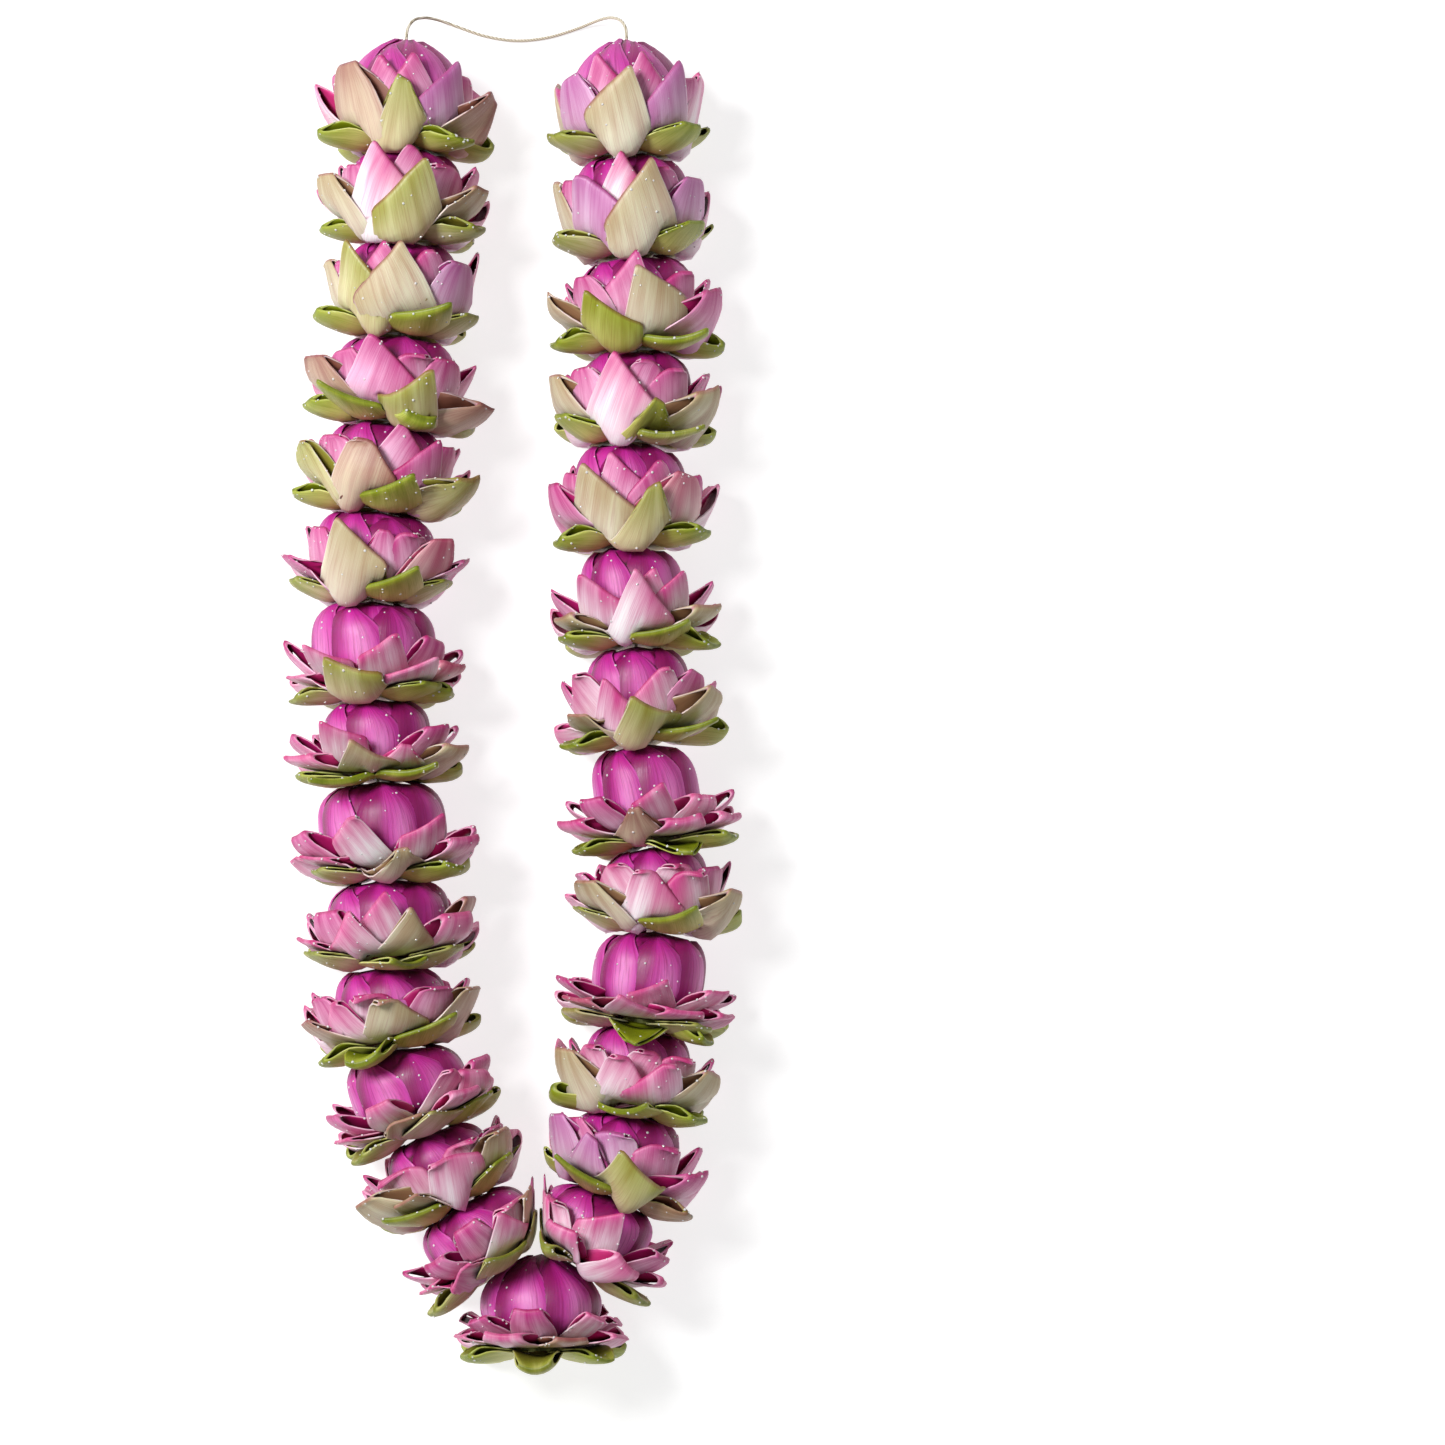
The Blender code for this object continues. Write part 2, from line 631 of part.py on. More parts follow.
def thread(left, right, pendant, collection, finish):
    """One length of cotton: from the knot up the left strand, over to the right strand's tip
    and down it to the knot again."""
    knot = pendant.base - KNOT_DROP * pendant.axis
    shift = PENDANT_SPREAD * pendant.across
    neck = [left[-1].tip] + [Vector(point) for point in NECK_ROUTE] + [right[-1].tip]
    route = [knot - 0.6 * shift, pendant.base - shift]
    route += [flower.base for flower in left]
    route += smooth_route(neck, NECK_STEP)
    route += [flower.base for flower in reversed(right)]
    route += [pendant.base + shift, knot + 0.6 * shift]
    curve = bpy.data.curves.new("thread_line", "CURVE")
    curve.dimensions = "3D"
    curve.bevel_depth = THREAD_RADIUS * MM
    curve.bevel_resolution = 1
    curve.use_fill_caps = True
    spline = curve.splines.new("POLY")
    spline.points.add(len(route) - 1)
    for place, point in zip(spline.points, route):
        place.co = (*(point * MM), 1.0)
    line = bpy.data.objects.new("thread_line", curve)
    collection.objects.link(line)
    graph = bpy.context.evaluated_depsgraph_get()
    mesh = bpy.data.meshes.new_from_object(line.evaluated_get(graph))
    bpy.data.objects.remove(line, do_unlink=True)
    welded = bmesh.new()
    welded.from_mesh(mesh)
    bmesh.ops.remove_doubles(welded, verts=welded.verts[:], dist=0.00001)
    welded.to_mesh(mesh)
    welded.free()
    made = bpy.data.objects.new("thread", mesh)
    collection.objects.link(made)
    lump = bmesh.new()
    bmesh.ops.create_icosphere(lump, subdivisions=1, radius=KNOT_RADIUS * MM)
    knot_mesh = bpy.data.meshes.new("knot")
    lump.to_mesh(knot_mesh)
    lump.free()
    knot_lump = bpy.data.objects.new("knot", knot_mesh)
    knot_lump.location = (knot - 1.4 * pendant.axis) * MM
    collection.objects.link(knot_lump)
    union = made.modifiers.new("knot", "BOOLEAN")
    union.operation = "UNION"
    union.object = knot_lump
    applied(made)
    bpy.data.objects.remove(knot_lump, do_unlink=True)
    made.data.materials.clear()
    made.data.materials.append(finish)
    return made


def build():
    clear_scene()
    garland = bpy.data.collections.new("lotus_garland")
    bpy.context.scene.collection.children.link(garland)
    pink = material("petal_pink", PINK, 0.55)
    green = material("calyx_green", GREEN, 0.5)
    cotton = material("cotton", COTTON, 0.9)

    pendant = Flower("pendant", PENDANT, PENDANT_TIP, 0, 100, pointed=True)
    left = strand("left", -1, LEFT_STRAND, LEFT_TIP, 200)
    right = strand("right", 1, RIGHT_STRAND, RIGHT_TIP, 300)
    pendant.ceilings = [left[0], right[0]]
    shift = PENDANT_SPREAD * pendant.across
    ways = [(pendant.base - shift, left[0].base), (pendant.base + shift, right[0].base)]
    for flower in [pendant, *left, *right]:
        measure_depth(flower)
        holes = ways if flower is pendant else [(flower.base, flower.tip)]
        bloom(flower, holes, garland, pink)
        calyx(flower, holes, garland, green)
    thread(left, right, pendant, garland, cotton)


build()
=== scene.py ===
"""A lotus flower garland laid out on a white table, seen from straight above.

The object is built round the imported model's frame. Lengths are millimetres in the sums and
metres in the meshes.
"""

import json
import math
import random

import bmesh
import bpy
from mathutils import Matrix, Vector
from mathutils.bvhtree import BVHTree

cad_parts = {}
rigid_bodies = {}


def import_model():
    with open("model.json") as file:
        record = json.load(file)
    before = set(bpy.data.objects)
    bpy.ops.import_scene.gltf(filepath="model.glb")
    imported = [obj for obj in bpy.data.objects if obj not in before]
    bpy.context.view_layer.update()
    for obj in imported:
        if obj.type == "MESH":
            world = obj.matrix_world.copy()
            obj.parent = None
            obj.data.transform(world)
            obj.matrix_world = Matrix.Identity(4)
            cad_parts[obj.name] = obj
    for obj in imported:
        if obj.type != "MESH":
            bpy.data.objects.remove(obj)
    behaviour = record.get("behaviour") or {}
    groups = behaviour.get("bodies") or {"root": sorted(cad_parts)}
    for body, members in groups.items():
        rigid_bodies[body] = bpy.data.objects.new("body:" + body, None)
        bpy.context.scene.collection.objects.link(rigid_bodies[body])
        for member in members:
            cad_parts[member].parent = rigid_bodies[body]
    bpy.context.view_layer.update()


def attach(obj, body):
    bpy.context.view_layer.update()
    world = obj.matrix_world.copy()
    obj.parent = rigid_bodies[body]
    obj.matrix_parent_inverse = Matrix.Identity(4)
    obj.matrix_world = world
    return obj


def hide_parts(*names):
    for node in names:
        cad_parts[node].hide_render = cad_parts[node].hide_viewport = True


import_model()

# The cotton thread
# One length of twisted white cotton that carries the blooms: from a knot under the pendant
# bloom up the left strand, over the table to the right strand's tip, and back down to the knot.

MM = 0.001
AXIS_HEIGHT = 30.0
THREAD_RADIUS = 0.7
KNOT_RADIUS = 2.6
KNOT_DROP = 3.1
KNOT_HANG = 1.4
KNOT_PINCH = 0.6
KNOT_SQUASH = (1.0, 0.82, 0.9)
KNOT_LOOPS = (((0.0, 0.0), 1.0), ((0.9, 0.7), 0.8), ((-0.8, 0.9), 0.75))
END_SPREAD = 1.6
NECK_STEP = 3.0
COTTON = (214, 206, 186)
PENDANT_ENDS = ((12.2, -295.7), (12.2, -250.7))
LEFT_LINE = (
    (-5.0, -256.6), (-24.3, -228.7), (-40.1, -196.7), (-53.1, -158.9), (-56.7, -121.5),
    (-56.7, -82.4), (-61.2, -38.3), (-62.6, -1.4), (-63.9, 42.7), (-61.2, 83.2),
    (-55.8, 122.8), (-51.3, 162.0), (-50.4, 204.7), (-49.1, 245.2), (-48.4, 295.6),
)
RIGHT_LINE = (
    (25.2, -254.3), (44.5, -225.0), (53.1, -187.7), (57.6, -148.6), (63.5, -105.8),
    (63.5, -67.6), (56.7, -21.2), (54.9, 22.4), (52.2, 67.5), (52.2, 113.8),
    (55.8, 155.2), (54.5, 198.0), (51.3, 243.0), (50.6, 295.6),
)
NECK_ROUTE = (
    (-48.0, 300.4, 25.6), (-45.5, 305.0, 19.5), (-40.5, 307.2, 10.5), (-34.0, 306.6, 3.8),
    (-26.0, 304.0, 1.1), (-14.0, 300.0, 0.9), (0.0, 298.0, 0.9), (14.0, 299.4, 0.9),
    (27.0, 303.2, 1.1), (35.5, 306.2, 3.8), (42.0, 307.2, 10.5), (47.5, 305.0, 19.5),
    (50.2, 300.4, 25.6),
)


def shade(red, green, blue):
    """A colour as a screen shows it, 0 to 255, as the linear values of a shader."""
    linear = []
    for value in (red, green, blue):
        part = value / 255
        linear.append(part / 12.92 if part <= 0.04045 else ((part + 0.055) / 1.055) ** 2.4)
    return (*linear, 1.0)


class Wire:
    """A socket of a finish's nodes, on which sums are written as Python expressions."""

    def __init__(self, tree, socket=None):
        self.tree = tree
        self.socket = socket

    def node(self, kind, settings=None, values=None, output=0):
        """Adds a node: its settings first, then the values or links of its sockets."""
        made = self.tree.nodes.new(kind)
        for name, value in (settings or {}).items():
            setattr(made, name, value)
        for name, value in (values or {}).items():
            if isinstance(value, Wire):
                self.tree.links.new(value.socket, made.inputs[name])
            else:
                made.inputs[name].default_value = value
        return Wire(self.tree, made.outputs[output])

    def sum(self, operation, first, second):
        return self.node("ShaderNodeMath", {"operation": operation}, {0: first, 1: second})

    def __add__(self, other):
        return self.sum("ADD", self, other)

    __radd__ = __add__

    def __sub__(self, other):
        return self.sum("SUBTRACT", self, other)

    def __rsub__(self, other):
        return self.sum("SUBTRACT", other, self)

    def __mul__(self, other):
        return self.sum("MULTIPLY", self, other)

    __rmul__ = __mul__

    def size(self):
        return self.sum("ABSOLUTE", self, 0.0)

    def twin(self, output):
        """Another output of the same node."""
        return Wire(self.tree, self.socket.node.outputs[output])

    def tinted(self, colour):
        """This colour as a glass of another one would show it."""
        settings = {"data_type": "RGBA", "blend_type": "MULTIPLY"}
        return self.node("ShaderNodeMix", settings, {0: 1.0, 6: self, 7: colour}, 2)

    def between(self, low, high):
        """0 below the low value, 1 above the high one, and smooth between."""
        return self.node(
            "ShaderNodeMapRange", {"interpolation_type": "SMOOTHSTEP"}, {0: self, 1: low, 2: high}
        )

    def mix(self, first, second):
        """The first colour where this mask is 0 and the second where it is 1."""
        return self.node("ShaderNodeMix", {"data_type": "RGBA"}, {0: self, 6: first, 7: second}, 2)

    def noise(self, place, scale, detail, roughness=0.5):
        return self.node(
            "ShaderNodeTexNoise",
            {},
            {"Vector": place, "Scale": scale, "Detail": detail, "Roughness": roughness},
        )

    def bump(self, height, strength, distance):
        return self.node(
            "ShaderNodeBump", {}, {"Height": height, "Strength": strength, "Distance": distance}
        )

    def attribute(self, name, output=0):
        return self.node("ShaderNodeAttribute", {"attribute_name": name}, output=output)

    def vector(self, x, y, z):
        return self.node("ShaderNodeCombineXYZ", {}, {0: x, 1: y, 2: z})


def finish(name, roughness, **constants):
    """A new material, its shader node, and a wire to add nodes from."""
    made = bpy.data.materials.new(name)
    made.use_nodes = True
    shader = made.node_tree.nodes["Principled BSDF"]
    shader.inputs["Roughness"].default_value = roughness
    for socket, value in constants.items():
        shader.inputs[socket.replace("_", " ")].default_value = value
    return made, shader, Wire(made.node_tree)


def paint(shader, socket, wire):
    wire.tree.links.new(wire.socket, shader.inputs[socket])


def cotton_finish():
    """Two plies of cotton that wind round the thread, with soft fluff between them and painted
    shade in the grooves between the plies.
    """
    made, shader, start = finish("twisted_cotton", 0.9, Sheen_Weight=0.3)
    place = start.node("ShaderNodeTexCoord", output=3)
    plies = start.node(
        "ShaderNodeTexWave",
        {"bands_direction": "DIAGONAL"},
        {"Vector": place, "Scale": 420.0, "Distortion": 1.5, "Detail": 2.0},
        1,
    )
    # Painted shade: the cotton is darker in the grooves between the plies.
    paint(shader, "Base Color", plies.between(0.1, 0.7).mix(shade(150, 138, 112), shade(*COTTON)))
    paint(shader, "Normal", start.bump(plies, 0.6, 0.0003))
    return made


def smooth_route(points, step):
    """Points a step apart on one smooth curve through the given ones."""
    ends = [2 * points[0] - points[1], *points, 2 * points[-1] - points[-2]]
    route = []
    for a, b, c, d in zip(ends, ends[1:], ends[2:], ends[3:]):
        count = max(1, round((c - b).length / step))
        for k in range(count):
            t = k / count
            bend = 2 * a - 5 * b + 4 * c - d
            twist = d - a + 3 * (b - c)
            route.append((2 * b + (c - a) * t + bend * t * t + twist * t ** 3) / 2)
    route.append(points[-1])
    return route


def linked(name, data):
    """A new object of this data, in the scene."""
    made = bpy.data.objects.new(name, data)
    bpy.context.scene.collection.objects.link(made)
    return made


def thread_piece(name, route, material):
    curve = bpy.data.curves.new(name, "CURVE")
    curve.dimensions = "3D"
    curve.bevel_depth = THREAD_RADIUS * MM
    curve.bevel_resolution = 3
    curve.use_fill_caps = True
    spline = curve.splines.new("POLY")
    spline.points.add(len(route) - 1)
    for place, point in zip(spline.points, route):
        place.co = (*(point * MM), 1.0)
    curve.materials.append(material)
    return linked(name, curve)


def piece_of(name, mesh, *skins):
    """An object of a finished bmesh with these materials, at the origin."""
    data = bpy.data.meshes.new(name)
    mesh.to_mesh(data)
    mesh.free()
    for skin in skins:
        data.materials.append(skin)
    return linked(name, data)


def line_of(places):
    return [Vector((x, y, AXIS_HEIGHT)) for x, y in places]


def length_of(route):
    return sum((b - a).length for a, b in zip(route, route[1:]))


cotton = cotton_finish()
pendant_line, left_line, right_line = (
    line_of(places) for places in (PENDANT_ENDS, LEFT_LINE, RIGHT_LINE)
)
down = (pendant_line[0] - pendant_line[1]).normalized()
across = down.cross(Vector((0.0, 0.0, 1.0)))
knot_place = pendant_line[0] + KNOT_DROP * down

cotton_pieces = []
for side_name, line, way in (("left", left_line, 1), ("right", right_line, -1)):
    start = knot_place + way * KNOT_PINCH * END_SPREAD * across
    route = [start, pendant_line[0] + way * END_SPREAD * across, *line]
    cotton_pieces.append(thread_piece(f"thread_{side_name}", route, cotton))

neck_route = smooth_route(
    [left_line[-1], *(Vector(point) for point in NECK_ROUTE), right_line[-1]], NECK_STEP
)
neck = thread_piece("thread_neck", neck_route, cotton)

knot_mesh = bmesh.new()
for shift, size in KNOT_LOOPS:
    loop = bmesh.ops.create_uvsphere(
        knot_mesh, u_segments=20, v_segments=12, radius=KNOT_RADIUS * size * MM
    )["verts"]
    centre = knot_place + KNOT_HANG * down + Vector((*shift, 0.0))
    bmesh.ops.scale(knot_mesh, verts=loop, vec=KNOT_SQUASH)
    bmesh.ops.translate(knot_mesh, verts=loop, vec=centre * MM)
knot = piece_of("thread_knot", knot_mesh, cotton)
knot.data.shade_smooth()

for piece in (*cotton_pieces, neck, knot):
    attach(piece, "root")
    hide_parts("thread")
length_of(neck_route) * MM

# How the blooms lie
# A bloom's own coordinates are x to the sky, y to the right of the garland and z from its base
# to the next one's. Neighbours are bent clear of each other and of the table, as they press.

STEM_RADIUS = 9.0
STEM_HEIGHT = 3.4
# The line between the strands, the room between neighbours, and how early they start to bend.
DIVIDE_X = 11.0
DIVIDE_BAND = 7.0
DIVIDE_SPARE = 1.3
SKIN = 0.6
SOFT_BAND = 2.6
DROOP = 0.42
DROOP_START = 10.0
FLOOR_BAND = 6.0
LOWEST = 0.45
# How fast, along the bloom, its lower end plane gives way to the upper one, and from where.
END_BLEND = (1.25, 0.125)
# The bowl between a bloom and its calyx, closed and open, and how far to the sides of each calyx
# petal it is felt.
BOWL_TILT = (4.0, 0.0)
BOWL_CURVATURE = (1 / 42.0, 1 / 120.0)
CALYX_SPREAD = (27.0, 21.0)
# The bud's outline: its foot, its widest place, and the fall above it, round or pointed.
BUD_FOOT = 0.40
BUD_WIDEST = 0.44
BUD_SWELL = 2.3
BUD_ROUND = (0.97, 3.4, 0.45)
BUD_POINTED = (0.98, 2.3, 0.8)
CUP_FOOT = 26.0
CUP_FLARE = 1.6


def mix(a, b, share):
    return a + (b - a) * share


def unit(value):
    """The value, held between 0 and 1."""
    return min(1.0, max(0.0, value))


def keep_above(value, limit, band):
    """The value, bent to stay above a limit from the height of a band over it."""
    if value >= limit + band:
        return value
    return limit + band * math.exp((value - limit - band) / band)


def keep_below(value, limit, band):
    return -keep_above(-value, -limit, band)


def droop(radius):
    """How far what lies between two blooms droops towards the lower one, out at a radius."""
    return DROOP * max(0.0, radius - DROOP_START)


class Flower:
    """One bloom's place on its strand, and the surfaces that part it from its neighbours."""

    def __init__(self, name, base, tip, side, bud, openness, pointed=False):
        self.name = name
        self.base = base
        self.side = side
        self.bud = bud
        self.openness = openness
        self.pointed = pointed
        self.pitch = (tip - base).length
        self.axis = self.lower = self.upper = (tip - base).normalized()
        self.up = Vector((0.0, 0.0, 1.0))
        self.across = self.axis.cross(self.up)
        self.ceilings = []
        self.next = None
        self.calyx_ways = []

    def slope(self, normal, x, y):
        """How far the plane with this normal rises along the axis, out at x and y."""
        return -(normal.dot(self.up) * x + normal.dot(self.across) * y) / normal.dot(self.axis)

    def place(self, x, y, z, spare=0.0):
        """A point of the bloom in the garland, bent so that its ends lie in its end planes."""
        share = unit(END_BLEND[0] * z / self.pitch - END_BLEND[1])
        z += mix(self.slope(self.lower, x, y), self.slope(self.upper, x, y), share)
        point = self.base + x * self.up + y * self.across + z * self.axis
        if self.side:
            away = self.side * (point.x - DIVIDE_X)
            point.x = DIVIDE_X + self.side * keep_above(away, SKIN + spare, DIVIDE_BAND)
        for other in self.ceilings:
            offset = point - other.base
            height = offset.dot(other.lower)
            radius = (offset - height * other.lower).length
            kept = keep_below(height, -SKIN - droop(radius), SOFT_BAND)
            point = point + (kept - height) * other.lower
        point.z = keep_above(point.z, LOWEST, FLOOR_BAND)
        return point

    def top_limit(self, radius):
        return self.pitch - SKIN - droop(radius)

    def bottom_limit(self, radius):
        return SKIN - droop(radius)

    def off_bowl(self, x, y, z, inside, room):
        """The point kept inside or outside the bowl that parts the bloom from its calyx."""
        tilt = math.radians(mix(*BOWL_TILT, self.openness))
        size = 1.0 / mix(*BOWL_CURVATURE, self.openness)
        centre_radius = STEM_RADIUS - size * math.sin(tilt)
        centre_height = STEM_HEIGHT + size * math.cos(tilt)
        radius = max(math.hypot(x, y), 0.001)
        out, down = radius - centre_radius, centre_height - z
        if down <= 0.0:
            return x, y, z
        distance = math.hypot(out, down)
        if inside:
            kept = keep_below(distance, size - SKIN - room, SOFT_BAND)
        else:
            kept = keep_above(distance, size + SKIN + room, SOFT_BAND)
        share = (centre_radius + out * kept / distance) / radius
        return x * share, y * share, centre_height - down * kept / distance

    def calyx_near(self, direction):
        """1 where one of the calyx's petals lies in this direction, 0 well away from them."""
        nearest = min(abs((direction - way + 180) % 360 - 180) for way in self.calyx_ways)
        return 1.0 - unit((nearest - CALYX_SPREAD[0]) / CALYX_SPREAD[1])

    def girth(self, z):
        """The radius that the petals lie against: the bud, and above it the next bloom's cup."""
        if self.next is None:
            return self.bud_radius(z)
        return max(self.bud_radius(z), CUP_FOOT + CUP_FLARE * (z - self.pitch))

    def bud_radius(self, z):
        """The radius of the closed bud at a height."""
        share = unit((z - STEM_HEIGHT) / (self.pitch - STEM_HEIGHT))
        if share < BUD_WIDEST:
            drawn_in = (1 - BUD_FOOT) * ((BUD_WIDEST - share) / BUD_WIDEST) ** BUD_SWELL
            return self.bud * (1 - drawn_in)
        rise = (share - BUD_WIDEST) / (1 - BUD_WIDEST)
        loss, delay, blunt = BUD_POINTED if self.pointed else BUD_ROUND
        return self.bud * (1.0 - loss * rise ** delay) ** blunt


# Each bloom's bud radius and openness, then the petals that show in its outer ring, its inner
# ring and its calyx. A petal is its direction round the strand and its tilt in degrees, its
# form, and its colour.
FLOWERS = {
    "pendant": (25.5, 1.0, (
        "-66 20 loop blush, -24 32 loop blush, 22 30 loop brown, 70 24 loop rose",
        "-48 34 loop pink, -4 44 loop pink, 44 40 loop blush, 84 34 loop pink",
        "-58 2 pod green, 0 -6 loop sage, 52 0 pod green",
    )),
    "left_01": (24.0, 0.75, (
        "-62 28 loop blush, -22 22 loop blush, 66 62 loop cream, 20 46 right blush",
        "-34 40 loop pink, 38 66 right blush, 0 50 loop pink",
        "-74 4 pod sage, 6 16 right sage, 70 30 pod sage",
    )),
    "left_02": (22.0, 0.5, (
        "-60 48 pod cream, 8 62 square blush, 60 60 pod cream, -28 36 loop cream",
        "34 70 left rose, -40 66 right rose, 70 66 pod pink",
        "-40 26 right green, 52 44 pod green",
    )),
    "left_03": (25.0, 0.85, (
        "-62 22 loop blush, -6 22 loop cream, 62 58 loop rose, 36 38 loop blush",
        "-20 34 loop blush, 30 46 right rose, 76 56 loop pink",
        "-55 4 pod sage, 14 22 right cream, 62 28 pod green",
    )),
    "left_04": (23.0, 0.45, (
        "-62 42 pod brown, 2 56 right cream, 74 58 pod cream, -36 56 left rose",
        "-16 62 right rose, 46 64 pod pink, -64 60 pod pink",
        "-60 6 pod green, -22 -2 loop green, 38 34 left green",
    )),
    "left_05": (26.0, 0.6, (
        "-70 42 loop rose, -18 50 left blush, 20 52 right cream, 62 58 loop blush",
        "2 60 left rose, 84 58 loop brown, -46 56 loop pink",
        "-60 24 pod sage, 8 6 right green, 58 28 pod sage",
    )),
    "left_06": (27.0, 0.75, (
        "-54 30 loop blush, 16 42 kite cream, 66 44 loop rose, -84 30 loop blush",
        "-14 48 left blush, 40 48 left rose, 86 36 loop pink",
        "-58 20 pod sage, 52 14 pod green",
    )),
    "left_07": (22.5, 0.85, (
        "-62 36 loop blush, -6 38 right cream, 70 38 loop cream, 28 46 kite blush",
        "-30 46 right rose, 56 48 loop pink, -84 40 loop pink",
        "-72 16 pod green, -34 6 right green, 36 12 left green",
    )),
    "left_08": (26.0, 0.85, (
        "-62 26 loop blush, -12 42 square sage, 34 36 left blush, 70 42 loop salmon",
        "-34 36 right blush, 14 44 left rose, 52 56 loop pink",
        "-74 2 pod sage, 44 18 pod green, 72 4 pod green",
    )),
    "left_09": (25.0, 0.35, (
        "-22 74 right cream, 56 66 pod salmon, -70 44 pod pink, 84 50 pod pink",
        "14 76 kite pink, -52 70 pod pink, 40 74 left pink",
        "-78 28 pod sage, 30 34 left green, 74 32 pod sage",
    )),
    "left_10": (25.0, 0.3, (
        "-18 76 right brown, -66 58 pod sage, 66 44 pod sage, 36 68 left pink",
        "12 80 right pink, -48 74 pod pink, 60 70 pod pink",
        "-84 12 pod green, 18 36 left green",
    )),
    "left_11": (25.0, 0.4, (
        "22 48 left sage, -62 58 pod brown, 70 34 pod brown, -14 72 right pink",
        "-46 68 pod pink, 50 68 pod pink, 22 72 left pink",
        "-80 12 pod green, -36 24 right green",
    )),
    "left_12": (24.0, 0.15, (
        "8 80 left cream, -40 76 right sage, 54 74 pod lilac",
        "-8 80 left pink, -62 76 pod pink, 34 80 left pink",
        "26 28 left green, 72 34 pod sage, -78 20 pod green",
    )),
    "left_13": (24.0, 0.2, (
        "14 66 left sage, -60 62 pod cream, 64 48 pod cream, -22 78 right blush",
        "40 78 right pink, -50 76 pod pink, 6 80 right pink",
        "-90 14 pod green, 66 14 pod sage",
    )),
    "left_14": (24.0, 0.1, (
        "4 78 kite sage, -48 74 pod brown, 74 50 pod brown, 40 76 left lilac",
        "-22 80 right pink, 62 72 pod pink, 16 80 left pink",
        "-72 14 pod green, 50 10 pod green",
    )),
    "right_01": (24.0, 0.8, (
        "-62 62 loop blush, -20 46 loop rose, 34 42 loop blush, 80 36 loop blush",
        "-36 62 left rose, 10 56 left rose, 62 48 loop pink",
        "-30 6 loop sage, 70 12 pod sage",
    )),
    "right_02": (23.0, 0.3, (
        "12 54 square sage, -30 68 kite lilac, 62 52 pod pink, -68 66 pod lilac",
        "40 72 left pink, -4 78 left lilac, -50 72 pod pink",
        "66 18 pod brown, -36 22 right green",
    )),
    "right_03": (22.0, 0.45, (
        "-14 62 right blush, 24 58 left rose, -58 58 pod cream, 62 54 pod cream",
        "4 72 right rose, 44 68 left rose, -40 66 left rose",
        "0 10 left green, 56 12 pod green",
    )),
    "right_04": (23.5, 1.0, (
        "-54 26 loop salmon, -14 30 right blush, 30 26 loop rose, 76 24 loop rose",
        "-74 30 loop pink, 8 34 left rose, 54 34 loop blush",
        "-64 14 pod cream, 46 14 pod sage, -4 -14 kite green, 56 -6 pod green",
    )),
    "right_05": (22.0, 0.45, (
        "-6 64 right blush, -50 52 pod cream, 62 46 pod cream, 32 68 left rose",
        "-30 72 left rose, 14 76 right rose, 56 66 pod pink",
        "-74 30 pod sage, 20 24 left green",
    )),
    "right_06": (22.0, 1.0, (
        "-66 36 loop rose, -12 46 kite brown, 26 34 loop rose, 66 32 loop rose",
        "-42 44 loop pink, 8 44 left rose, 44 40 loop blush",
        "-62 2 pod green, 24 -8 kite green, 62 8 pod green",
    )),
    "right_07": (21.5, 0.5, (
        "6 48 square sage, -46 32 pod cream, 62 50 pod cream, -18 56 right rose",
        "28 66 left rose, -44 58 left rose, 50 60 pod pink",
        "-62 6 pod green, 50 16 left green",
    )),
    "right_08": (21.5, 0.6, (
        "4 60 right blush, -58 44 loop cream, 62 46 loop cream",
        "42 58 left rose, -36 56 right rose, 18 64 left rose",
        "-58 16 pod green, 30 20 left green, 68 -4 pod green",
    )),
    "right_09": (23.5, 0.3, (
        "16 66 kite sage, -32 72 right cream, 52 70 pod salmon, -68 58 pod pink",
        "-8 82 right pink, 34 78 left pink, 68 70 pod pink",
        "-60 8 pod green, 64 16 pod green",
    )),
    "right_10": (23.5, 0.25, (
        "-18 78 right blush, 18 54 kite green, 64 56 pod cream",
        "38 76 left pink, -50 74 pod pink, 8 80 right pink",
        "-64 34 pod green, 44 12 left sage",
    )),
    "right_11": (24.0, 0.4, (
        "-28 52 right green, 18 74 square cream, 62 56 pod pink",
        "-46 70 pod pink, -4 80 left pink, 42 72 left pink",
        "40 14 left green, -76 4 pod green",
    )),
    "right_12": (24.0, 0.15, (
        "12 78 left cream, -38 76 right lilac, 60 74 pod lilac",
        "-12 82 right blush, 34 82 left pink, -64 76 pod pink",
        "56 46 pod green, -66 24 pod sage",
    )),
    "right_13": (24.0, 0.1, (
        "-4 78 left cream, 42 74 left lilac, -50 76 pod lilac",
        "66 68 pod pink, -26 82 right pink, 16 80 right pink",
        "52 34 pod green, -62 26 pod sage",
    )),
}


def strand(side_name, side, line):
    """The flowers of one strand, bottom to top, with the planes where each meets the next."""
    flowers = []
    for k, (base, tip) in enumerate(zip(line, line[1:])):
        name = f"{side_name}_{k + 1:02d}"
        bud, openness, _ = FLOWERS[name]
        flowers.append(Flower(name, base, tip, side, bud, openness, tip is line[-1]))
    for below, above in zip(flowers, flowers[1:]):
        below.upper = above.lower = (below.axis + above.axis).normalized()
        below.next = above
    return flowers


pendant = Flower("pendant", *pendant_line, 0, *FLOWERS["pendant"][:2], pointed=True)
left_strand = strand("left", -1, left_line)
right_strand = strand("right", 1, right_line)
pendant.ceilings = [left_strand[0], right_strand[0]]
flowers = [pendant, *left_strand, *right_strand]

# The folded petals
# A lotus petal folded in half: its tip is bent over towards the bud and tucked in behind, so
# that it makes a boat, open along its sides. Leaned to one side, its crease's corner stands up.

PETAL_THICKNESS = 0.65
